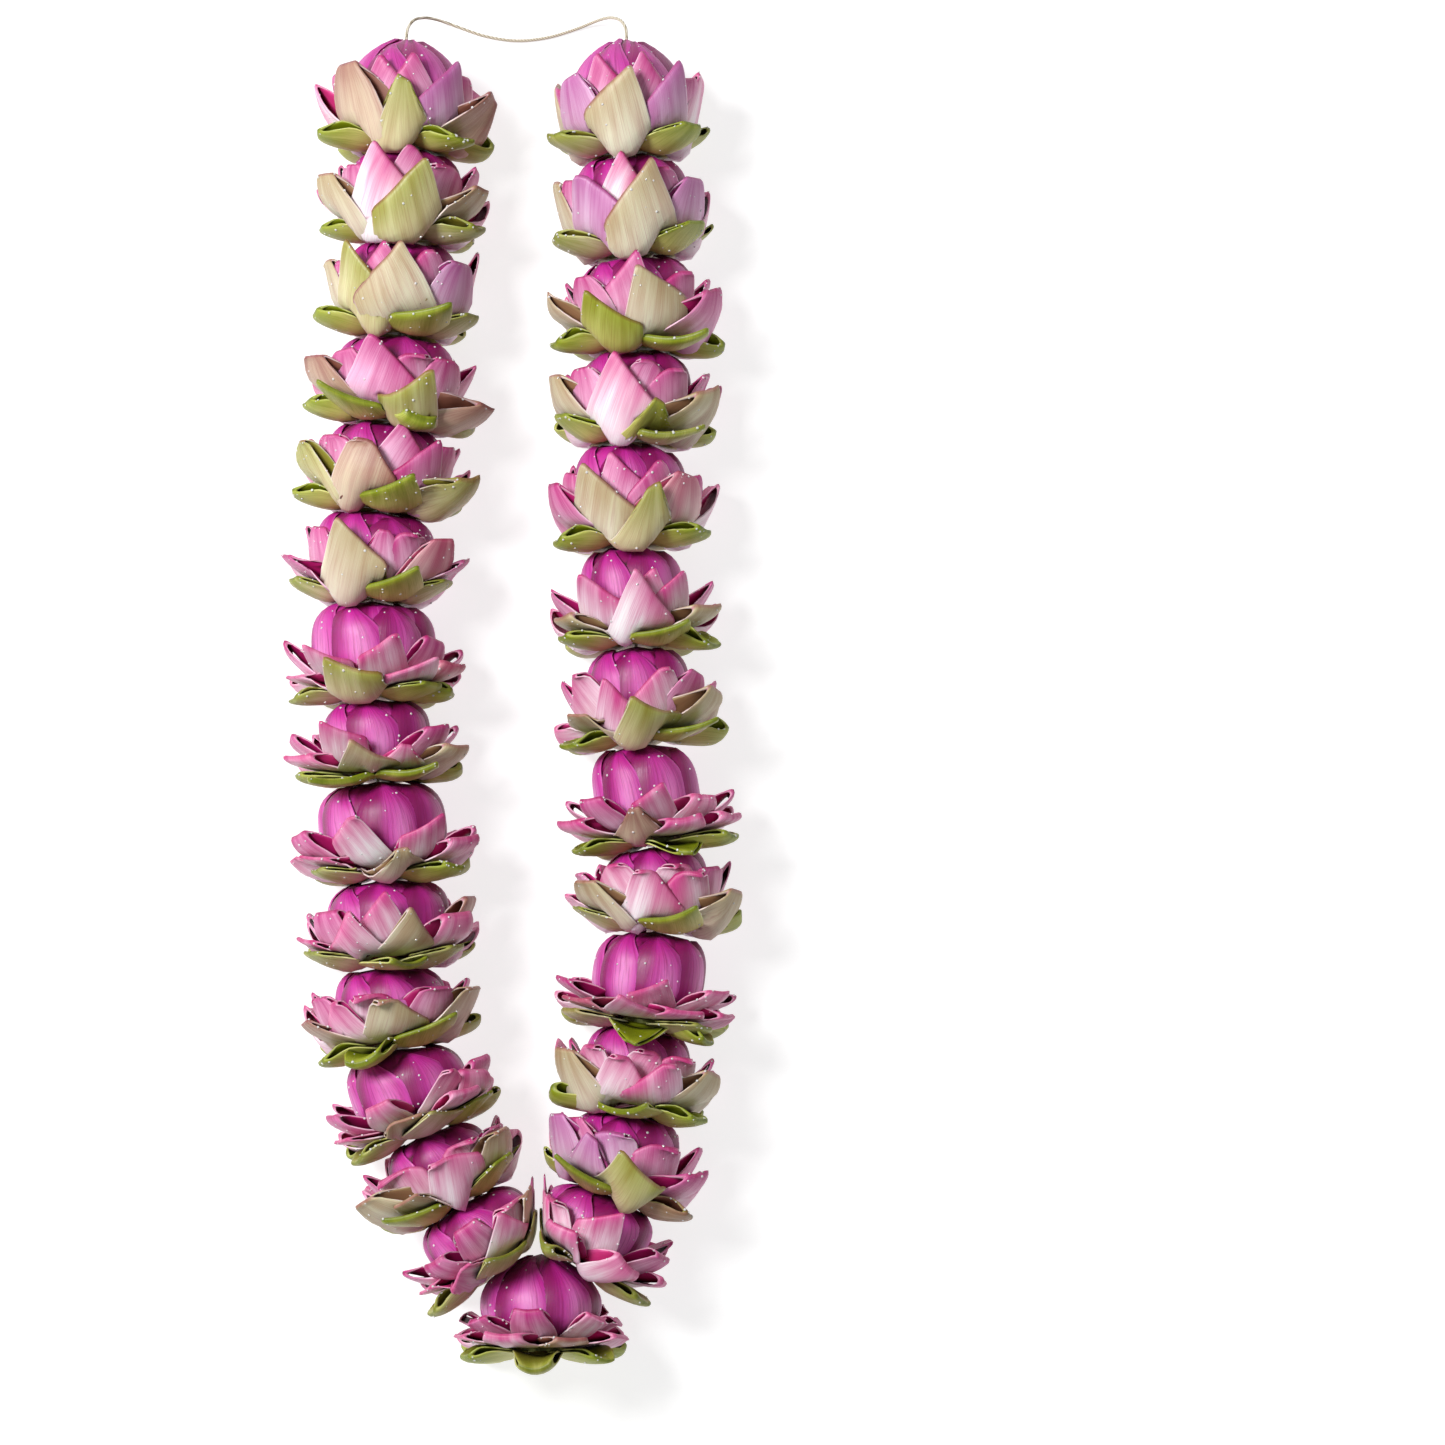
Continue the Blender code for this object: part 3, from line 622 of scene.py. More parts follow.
# The rings of petals, A for the calyx, B and C for the bloom's outer and inner one: the height of
# a petal's root, its length lying down and upright, its half width and what an open bloom leaves
# of it, its layers' distance and how far its slit gapes, its room off the bud, its tilt at the
# root, how far it runs flat and then bends, and how many degrees apart the hidden ones are, with
# their two colours.
RINGS = {
    "A": dict(
        root=1.4, length=(32.0, 34.0), half=15.0, open_width=1.0, sep=3.8, gape=(0.08, 0.26),
        clear=3.6, root_tilt=-10, flat=7, turn=10, apart=68, under=("green", "sage"),
    ),
    "B": dict(
        root=3.0, length=(32.0, 44.0), half=16.5, open_width=0.88, sep=3.4, gape=(0.1, 0.28),
        clear=4.0, root_tilt=-12, flat=8, turn=14, apart=56, under=("blush", "cream"),
    ),
    "C": dict(
        root=6.0, length=(30.0, 36.0), half=14.0, open_width=0.78, sep=2.6, gape=(0.0, 0.2),
        clear=1.0, root_tilt=8, flat=4, turn=14, apart=54, under=("pink", "pink"),
    ),
}
# How far off the bud the outer petals lie, from the front one to the sides, and every second
# petal of the outer and of the inner ring.
LAYERS = (3.6, 1.8, 0.7, 0.0)
OUTER_STEP = 0.6
INNER_STEP = 0.9
LAYER_LIFT = 0.5
# The forms of a petal: the place of its greatest width, its crease's width, lean and slant, its
# taper, its layers' distance and where they start to close, its width and its cup's radius.
CREASED = dict(widest=0.30, crease=0.86, taper=2.0, sep=0.7, fold=0.88, width=1.0, cup=25)
STRAIGHT = dict(lean=0, slant=0.0, taper=2.0)
FORMS = {
    "left": dict(CREASED, lean=-20, slant=0.17),
    "right": dict(CREASED, lean=20, slant=-0.17),
    "square": dict(CREASED, lean=8, slant=-0.1),
    "kite": dict(
        widest=0.28, crease=0.16, lean=0, slant=0.0, taper=1.2, sep=0.5, fold=0.88, width=1.12,
        cup=25,
    ),
    "loop": dict(STRAIGHT, widest=0.5, crease=0.62, sep=1.7, fold=0.72, width=0.92, cup=12),
    "pod": dict(STRAIGHT, widest=0.46, crease=0.36, sep=1.5, fold=0.4, width=1.1, cup=12.5),
}
# A petal's colours at its crease and root, and inside its fold.
TINTS = {
    "pink": ((194, 38, 132), (246, 198, 226), (166, 14, 90)),
    "rose": ((212, 66, 146), (255, 236, 246), (178, 18, 96)),
    "lilac": ((188, 98, 166), (226, 196, 218), (156, 38, 108)),
    "blush": ((222, 96, 160), (255, 250, 252), (196, 32, 110)),
    "salmon": ((194, 88, 120), (240, 212, 208), (152, 40, 74)),
    "brown": ((160, 112, 94), (218, 200, 172), (122, 68, 52)),
    "cream": ((178, 162, 112), (224, 218, 194), (138, 92, 66)),
    "sage": ((152, 158, 50), (218, 210, 164), (126, 112, 38)),
    "green": ((144, 158, 8), (208, 206, 120), (114, 124, 6)),
}
TINT_LAYERS = ("tip", "root", "deep")
ROWS = (0.0, 0.05, 0.11, 0.18, 0.26, 0.35, 0.45, 0.55, 0.65, 0.75, 0.84, 0.91, 0.96, 0.985, 1.0)
INNER_ROWS = (1.015, 1.04, 1.09, 1.16, 1.25, 1.36, 1.50, 1.65)
COLUMNS = 12
# Where a petal starts inside the bud or stem, and the tilt at which it has its upright length.
ROOT_SHARE = 0.92
ROOT_DEPTH = 1.6
ROOT_LEAST = -2.0
STEEP = 80
# How much petals differ: factors on length, width and layers' distance, then slant, lean and
# roll in degrees, and the shift of the tucked tip.
LENGTHS = (0.95, 1.05)
WIDTHS = (0.93, 1.07)
GAPS = (0.8, 1.25)
SLANTS = (-0.05, 0.05)
LEANS = (-7, 7)
SKEWS = (2.0, 4.5)
ROLL_ASIDE = 10
# A pod and a loop gape more, and an outer pod is longer. No crease comes nearer than this to the
# next bloom's base.
POD_GAPE = 1.5
POD_LENGTH = 1.14
PEAK_ROOM = 5.0
# The petal's shape: what it leans about, how fast it widens, its rounded corners, the layers'
# distance at the root and its growth, the tip's width, the layers' places, the slit's growth and
# least height, and the ripple.
PIVOT = 0.42
SWELL = 0.55
CORNER = 2.4
CORNER_START = 0.8
CORNER_SPAN = 0.2
ROOT_PART = 0.2
PART_RATE = 2.4
TIP_WIDTH = 0.97
LAYER_PLACES = (-0.65, 0.35)
GAPE_RATE = 3.0
GAPE_LEAST = 0.7
RIPPLE = 0.2
CURL_LEAST = 15.0
WRAP_RADIUS = 16.0
# How it is kept clear: of the bud, then of its own calyx and of the blooms above and below.
HUG_START = 1.0
HUG_LEAST = 0.4
HUG_INNER = 0.5
HUG_BAND = 1.2
BED_BAND = 0.6 * SOFT_BAND
BED_ROOM = 0.8
BED_LAYER = 0.4
FALL_HEIGHTS = (4.0, 26.0)
FALL = 2.0
SINK = 12.0
FOLD_ROOM = 0.9
NEST_START = 15.0
NEST = 0.7
# The hidden petals' tilt under that of the outermost shown, how it differs, and when they close.
UNDER_TILT = 6.0
UNDER_VARIES = 6
UNDER_POD = 40.0


class Petal:
    """One folded petal, with its own small differences."""

    def __init__(self, flower, ring, direction, tilt, form, tint, layer, chance):
        self.flower = flower
        self.ring_name = ring
        self.ring = RINGS[ring]
        self.form = FORMS[form]
        self.direction = math.radians(direction)
        core = STEM_RADIUS if ring == "A" else flower.bud_radius(self.ring["root"])
        self.root_radius = ROOT_SHARE * core - ROOT_DEPTH
        self.root_tilt = math.radians(self.ring["root_tilt"])
        self.crease_tilt = math.radians(tilt)
        self.length = mix(*self.ring["length"], abs(tilt) / STEEP) * chance.uniform(*LENGTHS)
        self.half = self.ring["half"] * self.form["width"] * chance.uniform(*WIDTHS)
        self.half *= mix(1.0, self.ring["open_width"], flower.openness)
        self.sep = self.ring["sep"] * self.form["sep"] * chance.uniform(*GAPS)
        self.slant = self.form["slant"] + chance.uniform(*SLANTS)
        self.lean = math.radians(self.form["lean"] + chance.uniform(*LEANS))
        aside = math.sin(self.direction)
        self.roll = math.radians(chance.uniform(*LEANS) - ROLL_ASIDE * aside)
        self.gape = -chance.uniform(*self.ring["gape"]) * aside
        if form in ("pod", "loop"):
            self.gape *= POD_GAPE
        if form == "pod" and ring == "B":
            self.length *= POD_LENGTH
        self.skew = math.copysign(chance.uniform(*SKEWS), self.lean)
        self.clear = self.ring["clear"] + layer
        self.layer = layer if ring == "B" else 0.0
        self.lift = LAYER_LIFT * self.layer * (1.0 - flower.calyx_near(direction))
        self.tint = TINTS[tint]
        self.grain = chance.random()
        self.wave = chance.uniform(0.0, 2 * math.pi)
        above = flower.next.calyx_near(direction) if flower.next else 0.0
        self.nest = NEST * (1.0 - above)
        while self.midline(self.length)[1] > flower.pitch - PEAK_ROOM:
            self.length -= 0.5

    def midline(self, reach):
        """Distance from the axis, height and tilt of the petal's middle, this far along it: out
        from its root, round a bend, and straight on."""
        flat = min(reach, self.ring["flat"])
        turned = min(max(0.0, reach - flat), self.ring["turn"])
        rest = reach - flat - turned
        tilt = mix(self.root_tilt, self.crease_tilt, turned / self.ring["turn"])
        half_turn = (tilt - self.root_tilt) / 2
        chord = turned if abs(half_turn) < 1e-6 else turned * math.sin(half_turn) / half_turn
        outward = flat * math.cos(self.root_tilt) + rest * math.cos(tilt)
        outward += chord * math.cos(self.root_tilt + half_turn)
        rise = flat * math.sin(self.root_tilt) + rest * math.sin(tilt)
        rise += chord * math.sin(self.root_tilt + half_turn)
        return self.root_radius + outward, self.ring["root"] + rise, tilt

    def width(self, height):
        """Half its width at a share of its length."""
        widest, crease = self.form["widest"], self.form["crease"]
        swell = math.sin(math.pi / 2 * min(1.0, height / widest)) ** SWELL
        past = max(0.0, (height - widest) / (1.0 - widest))
        return self.half * swell * (1.0 - (1.0 - crease) * past ** self.form["taper"])

    def point(self, across, along):
        """A point of the petal in the garland: across from -1 to 1, and along from 0 at the
        root to 1 at the crease and back towards 2 where its tip is tucked in."""
        height = along if along <= 1.0 else 2.0 - along
        inner = along > 1.0
        parted = self.sep * mix(ROOT_PART, 1.0, height)
        parted *= math.sin(math.pi / 2 * min(1.0, PART_RATE * height))
        fold = self.form["fold"]
        if height > fold:
            parted *= math.sqrt(max(0.0, 1.0 - ((height - fold) / (1.0 - fold)) ** 2))
        x = across * self.width(height)
        if inner:
            x = TIP_WIDTH * x + self.skew * (along - 1.0)
        corner = unit((abs(across) - CORNER_START) / CORNER_SPAN)
        rounded = CORNER * (1.0 - math.sqrt(1.0 - corner ** 2)) * height ** 4
        reach = height * self.length * (1.0 + self.slant * across) - rounded
        pivot = PIVOT * self.length
        shift = (reach - pivot) * math.sin(self.lean)
        reach = pivot + (reach - pivot) * math.cos(self.lean) - x * math.sin(self.lean)
        outward, up, tilt = self.midline(max(ROOT_LEAST, reach))
        upright = max(0.0, math.sin(tilt))
        curl = mix(self.form["cup"], max(CURL_LEAST, outward), upright)
        side = curl * math.sin(x / curl) * math.cos(self.lean)
        lift = curl * (1.0 - math.cos(x / curl)) + LAYER_PLACES[inner] * parted
        if inner:
            gape = self.gape * side * min(1.0, GAPE_RATE * (along - 1.0))
            lift += max(gape, -GAPE_LEAST * parted)
        lift += RIPPLE * math.sin(3.0 * across + 4.0 * height + self.wave)
        lift -= self.lift * min(1.0, 4.0 * height)
        roll = self.roll * height
        side, lift = (
            side * math.cos(roll) - lift * math.sin(roll),
            side * math.sin(roll) + lift * math.cos(roll),
        )
        outward -= lift * math.sin(tilt)
        up += lift * math.cos(tilt)
        return self.placed(side, outward, up, shift, parted, inner)

    def placed(self, x, outward, up, shift, parted, inner):
        """The point in the garland, turned round the strand by a shift and kept clear. Where
        its two layers are pressed against a surface, the far one stops short by some room."""
        flower = self.flower
        room = FOLD_ROOM * min(1.0, parted)
        upper_room, lower_room = (room, 0.0) if inner else (0.0, room)
        direction = self.direction + shift / max(WRAP_RADIUS, outward)
        radius = max(0.001, math.hypot(x, outward))
        if radius > self.root_radius + HUG_START:
            clear = max(HUG_LEAST, self.clear - (HUG_INNER * parted if inner else 0.0))
            kept = keep_above(radius, flower.girth(up) + clear, HUG_BAND)
            x, outward = x * kept / radius, outward * kept / radius
        away = math.cos(direction)
        aside = math.sin(direction)
        x, y = outward * away - x * aside, outward * aside + x * away
        if self.ring_name == "A":
            x, y, up = flower.off_bowl(x, y, up, False, lower_room)
            limit = flower.bottom_limit(math.hypot(x, y)) + upper_room
            return flower.place(x, y, keep_above(up, limit, BED_BAND))
        radius = math.hypot(x, y)
        low, high = FALL_HEIGHTS
        fade = 1.0 - unit((up - low) / (high - low))
        bare = 1.0 - flower.calyx_near(math.degrees(math.atan2(y, x)))
        closed = 1.0 - flower.openness
        up -= fade * closed * (droop(radius) + FALL * bare)
        x, y, up = flower.off_bowl(x, y, up + SINK * bare, True, upper_room)
        limit = flower.bottom_limit(radius) + BED_ROOM + BED_LAYER * (LAYERS[0] - self.layer)
        up = keep_above(up - SINK * bare, limit + upper_room, BED_BAND)
        radius = math.hypot(x, y)
        limit = flower.top_limit(radius) + self.nest * max(0.0, radius - NEST_START) - lower_room
        return flower.place(x, y, keep_below(up, limit, SOFT_BAND), DIVIDE_SPARE)


def filled(shown, chance):
    """The petals that the table gives for a flower and those hidden under it."""
    specs = []
    for ring, kind in RINGS.items():
        ring_specs = sorted((spec for spec in shown if spec[0] == ring), key=lambda spec: spec[1])
        first, last = ring_specs[0], ring_specs[-1]
        room = 360 + first[1] - last[1]
        missing = max(0, round(room / kind["apart"]) - 1)
        middle = (first[2] + last[2]) / 2 - UNDER_TILT
        form = "pod" if middle > UNDER_POD else "loop"
        for k in range(missing):
            direction = last[1] + room * (k + 1) / (missing + 1)
            tilt = middle + chance.uniform(-UNDER_VARIES, UNDER_VARIES)
            specs.append((ring, direction, tilt, form, kind["under"][k % 2]))
        specs += ring_specs
    return specs


def shown_petals(flower):
    shown = []
    for ring, line in zip("BCA", FLOWERS[flower.name][2]):
        for words in line.split(", "):
            direction, tilt, form, tint = words.split()
            shown.append((ring, float(direction), float(tilt), form, tint))
    return shown


def petals_of(flower, seed):
    """All petals of a flower, from the front one of each ring to the sides and under it."""
    chance = random.Random(seed)
    petals = []
    for ring in RINGS:
        specs = [spec for spec in filled(shown_petals(flower), chance) if spec[0] == ring]
        specs.sort(key=lambda spec: abs(spec[1] if spec[1] <= 180 else spec[1] - 360))
        for rank, spec in enumerate(specs):
            layer = {
                "A": 0.0,
                "B": LAYERS[min(rank, 3)] + OUTER_STEP * (rank % 2),
                "C": INNER_STEP * (rank % 2),
            }[ring]
            petals.append(Petal(flower, *spec, layer, chance))
    return petals


def petal_strip(mesh, petal):
    """Adds a petal to a mesh: a strip of rows from its root over the crease to its tip."""
    rows = ROWS + INNER_ROWS
    grid = bmesh.ops.create_grid(mesh, x_segments=COLUMNS, y_segments=len(rows) - 1, size=1.0)
    place = mesh.loops.layers.uv["petal"]
    tints = [mesh.loops.layers.float_color[name] for name in TINT_LAYERS]
    colours = [(*shade(*tint)[:3], petal.grain) for tint in petal.tint]
    at = {}
    for vertex in grid["verts"]:
        row = round((vertex.co.y + 1.0) / 2.0 * (len(rows) - 1))
        across = math.sin(math.pi / 2 * vertex.co.x)
        at[vertex] = (across, rows[row])
        vertex.co = petal.point(across, rows[row]) * MM
    for face in {face for vertex in grid["verts"] for face in vertex.link_faces}:
        face.smooth = True
        for loop in face.loops:
            across, along = at[loop.vert]
            loop[place].uv = ((across + 1.0) / 2.0, along)
            for tint, colour in zip(tints, colours):
                loop[tint] = colour


def petal_place(start):
    """The place on a petal: u across it, and v from its root over its crease to its tip."""
    place = start.node("ShaderNodeUVMap", {"uv_map": "petal"})
    u = start.node("ShaderNodeSeparateXYZ", {}, {0: place})
    return u, u.twin(1)


def streaks(u, v, grain, counts, detail, roughness=0.5):
    """Noise drawn out along a petal, with these counts across and along it and apart from the
    next petal's."""
    across, along, apart = counts
    return u.noise(u.vector(u * across, v * along, grain * apart), 1.0, detail, roughness)


def with_painted_fold_shade(start, colour, crevice_shade):
    """The colour with painted shade: darkened where little open air is left round the surface, in
    folds and gaps.
    """
    air = start.attribute("air", 2)
    return air.between(0.05, 0.5).mix(colour.tinted(shade(*crevice_shade)), colour)


def petal_finish(name, edge_tint, vein_tint_and_fold_shade, crevice_shade):
    """Thin waxy skin: pale at the root, deeper towards the crease, with fine veins along it
    and a pale cut edge. Painted shade darkens a thin line along the fold and the crevices."""
    made, shader, start = finish(
        name, 0.42, Subsurface_Weight=0.1, Subsurface_Scale=0.002, Subsurface_Radius=(1.0, 0.5, 0.6)
    )
    u, v = petal_place(start)
    tip, root, deep = (start.attribute(layer) for layer in TINT_LAYERS)
    grain = root.twin("Alpha")
    edge = (u * 2 - 1).size()
    veins = streaks(u, v, grain, (84, 2.2, 40), 4.0, 0.62)
    cloud = streaks(u, v, grain, (5, 1.2, 23), 2.0)
    rise = (v + (cloud - 0.5) * 0.6 + (veins - 0.5) * 0.3).between(0.3, 1.2)
    colour = rise.mix(root, tip)
    colour = (v.between(0.95, 1.35) * 0.55).mix(colour, deep)
    # The darker tint serves the veins and blotches, which are the petal's own colour, and the
    # painted shade along the fold.
    dark = colour.tinted(shade(*vein_tint_and_fold_shade))
    colour = (veins.between(0.44, 0.72) * 0.5).mix(colour, dark)
    colour = (cloud.between(0.35, 0.7) * 0.35).mix(colour, dark)
    colour = (edge.between(0.955, 0.995) * 0.4).mix(colour, shade(*edge_tint))
    # Painted shade: a thin band along the fold, where the petal bends over, is darkened.
    colour = (v - 1).size().between(0.0, 0.025).mix(colour.tinted(shade(*vein_tint_and_fold_shade)), colour)
    # Painted shade: darker where little open air is left round the petal, in folds and gaps.
    paint(shader, "Base Color", with_painted_fold_shade(start, colour, crevice_shade))
    paint(shader, "Roughness", veins * 0.25 + 0.3)
    paint(shader, "Normal", start.bump(veins, 0.35, 0.0004))
    return made


def lining_finish(name):
    """The inner face of a folded petal, deeper in colour, which shows in its slit."""
    made, shader, start = finish(name, 0.5)
    u, v = petal_place(start)
    tip, deep = start.attribute("tip"), start.attribute("deep")
    veins = streaks(u, v, 0.0, (40, 1.4, 0.0), 3.0, 0.6)
    edge = (u * 2 - 1).size().between(0.8, 1.0)
    colour = (veins * 0.3 + edge * 0.5).mix(deep, tip)
    # Painted shade: the lining is darkened where little open air is left round it.
    paint(shader, "Base Color", with_painted_fold_shade(start, colour, (110, 80, 80)))
    paint(shader, "Normal", start.bump(veins, 0.3, 0.0004))
    return made


def petal_mesh(petals):
    """The petals of one ring or more as thin sheets."""
    mesh = bmesh.new()
    mesh.loops.layers.uv.new("petal")
    for layer in TINT_LAYERS:
        mesh.loops.layers.float_color.new(layer)
    for petal in petals:
        petal_strip(mesh, petal)
    return mesh


def walled(mesh):
    """The sheets with their thickness. The inner face takes the next material."""
    data = bpy.data.meshes.new("sheets")
    mesh.to_mesh(data)
    sheets = linked("sheets", data)
    wall = sheets.modifiers.new("thickness", "SOLIDIFY")
    wall.thickness = PETAL_THICKNESS * MM
    wall.offset = 0.0
    wall.use_quality_normals = True
    wall.material_offset = 1
    for _ in range(4):
        data.materials.append(None)
    depsgraph = bpy.context.evaluated_depsgraph_get()
    thick = bpy.data.meshes.new_from_object(sheets.evaluated_get(depsgraph))
    mesh.clear()
    mesh.from_mesh(thick)
    bpy.data.objects.remove(sheets)
    bpy.data.meshes.remove(data)
    bpy.data.meshes.remove(thick)
    return mesh


# The calyxes
# Green outer petals of the bloom, folded in the same way, and the round cut end of the stem
# that they grow from.

PETAL_SEED = 500
STEM_SIDES = 24

# Painted shade: the crevice colour darkens folds and gaps, and the darker tint also paints the
# shade along the fold.
calyx_skin = petal_finish(
    "calyx_skin", edge_tint=(222, 222, 150), vein_tint_and_fold_shade=(196, 200, 120), crevice_shade=(80, 80, 36)
)
calyx_lining = lining_finish("calyx_lining")
for flower in flowers:
    flower.calyx_ways = [spec[1] for spec in shown_petals(flower) if spec[0] == "A"]
petals = {flower.name: petals_of(flower, PETAL_SEED + k) for k, flower in enumerate(flowers)}
for flower in flowers:
    mesh = petal_mesh([petal for petal in petals[flower.name] if petal.ring_name == "A"])
    green = piece_of(f"calyx_petals_{flower.name}", walled(mesh), calyx_skin, calyx_lining)
    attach(green, "root")
    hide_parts(f"calyx_{flower.name}")

stem_mesh = bmesh.new()
for flower in flowers:
    disc = bmesh.ops.create_cone(
        stem_mesh, cap_ends=True, segments=STEM_SIDES, radius1=1.0, radius2=1.0, depth=1.0
    )["verts"]
    for vertex in disc:
        height = STEM_HEIGHT if vertex.co.z > 0 else SKIN
        x, y = STEM_RADIUS * vertex.co.x, STEM_RADIUS * vertex.co.y
        vertex.co = flower.place(x, y, height) * MM
bmesh.ops.recalc_face_normals(stem_mesh, faces=stem_mesh.faces[:])
stem_finish, stem_shader, stem_wire = finish("stem_green", 0.5)
stem_spots = stem_wire.noise(stem_wire.node("ShaderNodeTexCoord", output=3), 900.0, 3.0)
paint(stem_shader, "Base Color", stem_spots.mix(shade(96, 108, 40), shade(168, 170, 96)))
stems = piece_of("stem_ends", stem_mesh, stem_finish)
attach(stems, "root")

# The blooms
# The closed bud, whose broad petals overlap like shingles round it, and the pink and cream
# petals folded open round its foot.

BUD_SEED = 900
CORE_COLUMNS = 32
CORE_ROWS = 14
CORE_ENDS = (0.2, 0.6)
CORE_DEPTH = 0.8
CORE_CAP = 14
# The bud's petals: how wide they wrap it, where they end, how they narrow, how far they stand
# off it, lap over each other and crown, and how much they differ.
LOBES = 7
LOBE_ROWS = 16
LOBE_COLUMNS = 12
LOBE_ENDS = (0.6, 0.5)
LOBE_WRAP = 0.74
LOBE_TOP = (0.9, 0.995)
LOBE_NARROW = (0.85, 5.0)
LOBE_FOOT = (0.75, 0.25)
LOBE_LIFT = 0.4
LOBE_STEP = 1.9
LOBE_CROWN = 2.4
LOBE_SHIFTS = (-0.14, 0.14)
LOBE_WRAPS = (0.85, 1.1)
LOBE_CROWNS = (0.6, 1.3)


def skinned(mesh, verts, at):
    """Gives the bud's skin and its UVs to the faces of these points, and returns their loops."""
    place = mesh.loops.layers.uv["petal"]
    loops = []
    for face in {face for vertex in verts for face in vertex.link_faces}:
        face.smooth = True
        face.material_index = 2
        for loop in face.loops:
            loop[place].uv = at[loop.vert]
            loops.append(loop)
    return loops


def bud_core(flower, mesh):
    """Adds the bud's closed body to a mesh: a ball pulled to its outline."""
    ball = bmesh.ops.create_uvsphere(
        mesh, u_segments=CORE_COLUMNS, v_segments=CORE_ROWS, radius=1.0
    )["verts"]
    low, high = STEM_HEIGHT + CORE_ENDS[0], flower.pitch - CORE_ENDS[1]
    at = {}
    for vertex in ball:
        angle = math.atan2(vertex.co.y, vertex.co.x)
        share = math.acos(max(-1.0, min(1.0, -vertex.co.z))) / math.pi
        height = mix(low, high, share)
        ring = flower.bud_radius(height) - CORE_DEPTH
        ring *= min(1.0, CORE_CAP * share, CORE_CAP * (1 - share))
        at[vertex] = (0.5 + 0.5 * math.sin(LOBES * angle), share)
        vertex.co = flower.place(ring * math.cos(angle), ring * math.sin(angle), height) * MM
    skinned(mesh, ball, at)


def bud_lobes(flower, mesh, chance):
    """Adds the bud's petals to a mesh: broad leaves that wrap it and lap over each other."""
    tints = mesh.loops.layers.float_color["root"]
    phase = chance.uniform(0.0, 2 * math.pi)
    low, high = STEM_HEIGHT + LOBE_ENDS[0], flower.pitch - LOBE_ENDS[1]
    for k in range(LOBES):
        middle = phase + 2 * math.pi * (k + chance.uniform(*LOBE_SHIFTS)) / LOBES
        top = chance.uniform(*LOBE_TOP)
        wrap = LOBE_WRAP * chance.uniform(*LOBE_WRAPS)
        crown = LOBE_CROWN * chance.uniform(*LOBE_CROWNS)
        grain = chance.random()
        grid = bmesh.ops.create_grid(
            mesh, x_segments=LOBE_COLUMNS, y_segments=LOBE_ROWS, size=1.0
        )["verts"]
        at = {}
        for vertex in grid:
            across = math.sin(math.pi / 2 * vertex.co.x)
            share = (vertex.co.y + 1.0) / 2.0
            at[vertex] = ((across + 1.0) / 2.0, share)
            height = mix(low, high, top * share)
            breadth = wrap * (1.0 - LOBE_NARROW[0] * share ** LOBE_NARROW[1])
            breadth *= LOBE_FOOT[0] + LOBE_FOOT[1] * min(1.0, 3.0 * share)
            angle = middle + breadth * across
            ring = flower.bud_radius(height) + LOBE_LIFT + 0.5 * LOBE_STEP * across
            ring += crown * (1.0 - across * across) - 0.5 * crown
            vertex.co = flower.place(ring * math.cos(angle), ring * math.sin(angle), height) * MM
        for loop in skinned(mesh, grid, at):
            loop[tints] = (0.0, 0.0, 0.0, grain)


def bud_finish():
    """Magenta petals with fine dark streaks, paler low in the middle, bright at their rims, with
    painted shade where each tucks under the next and in the crevices. The pale patch is partly
    the petals' own paler colour and partly a painted highlight.
    """
    made, shader, start = finish("bud_skin", 0.42, Subsurface_Weight=0.1, Subsurface_Scale=0.003)
    u, v = petal_place(start)
    grain = start.attribute("root", "Alpha")
    veins = streaks(u, v, grain, (34, 1.6, 40), 4.0, 0.65)
    cloud = streaks(u, v, grain, (5, 1.4, 17), 2.0)
    rise = (v + (cloud - 0.5) * 0.7).between(0.15, 0.95)
    ground = rise.mix(shade(212, 84, 180), shade(186, 32, 144))
    middle = (u - 0.72).size()
    # The pale patch low in the middle of each bud petal is partly its own paler colour and partly a
    # painted highlight on its bulge.
    pale = (1 - middle.between(0.0, 0.22)) * (1 - v.between(0.3, 0.95))
    colour = (pale * (0.1 + veins * 0.85)).mix(ground, shade(244, 180, 228))
    colour = (veins.between(0.44, 0.68) * 0.65).mix(colour, shade(148, 14, 104))
    # Painted shade: each bud petal darkens towards the side that tucks under its neighbour.
    colour = ((1 - u.between(0.34, 0.64)) * 0.9).mix(colour, shade(122, 2, 80))
    colour = (u.between(0.94, 1.0) * 0.35).mix(colour, shade(240, 120, 206))
    # Painted shade: darker where little open air is left round the bud, in folds and gaps.
    paint(shader, "Base Color", with_painted_fold_shade(start, colour, (130, 50, 90)))
    paint(shader, "Roughness", veins * 0.3 + 0.3)
    paint(shader, "Normal", start.bump(veins, 0.4, 0.0006))
    return made


# Painted shade: the crevice colour darkens folds and gaps, and the darker tint also paints the
# shade along the fold.
petal_skin = petal_finish(
    "petal_skin", edge_tint=(250, 228, 238), vein_tint_and_fold_shade=(224, 176, 202), crevice_shade=(104, 44, 62)
)
petal_lining = lining_finish("petal_lining")
bud_skin = bud_finish()
for k, flower in enumerate(flowers):
    mesh = petal_mesh([petal for petal in petals[flower.name] if petal.ring_name != "A"])
    bud_lobes(flower, mesh, random.Random(BUD_SEED + k))
    mesh = walled(mesh)
    bud_core(flower, mesh)
    skins = (petal_skin, petal_lining, bud_skin, bud_skin)
    pink = piece_of(f"bloom_petals_{flower.name}", mesh, *skins)
    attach(pink, "root")
    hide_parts(f"bloom_{flower.name}")

# The air in the folds
# Painted shade: petals are darkened where little open air is left round them, in the folds and
# gaps where they press against each other. How much open air is left round each point is
# measured with a few rays.

RAYS = 26
RAY_REACH = 0.013
RAY_START = 0.0003
RAY_LEAST = 0.1


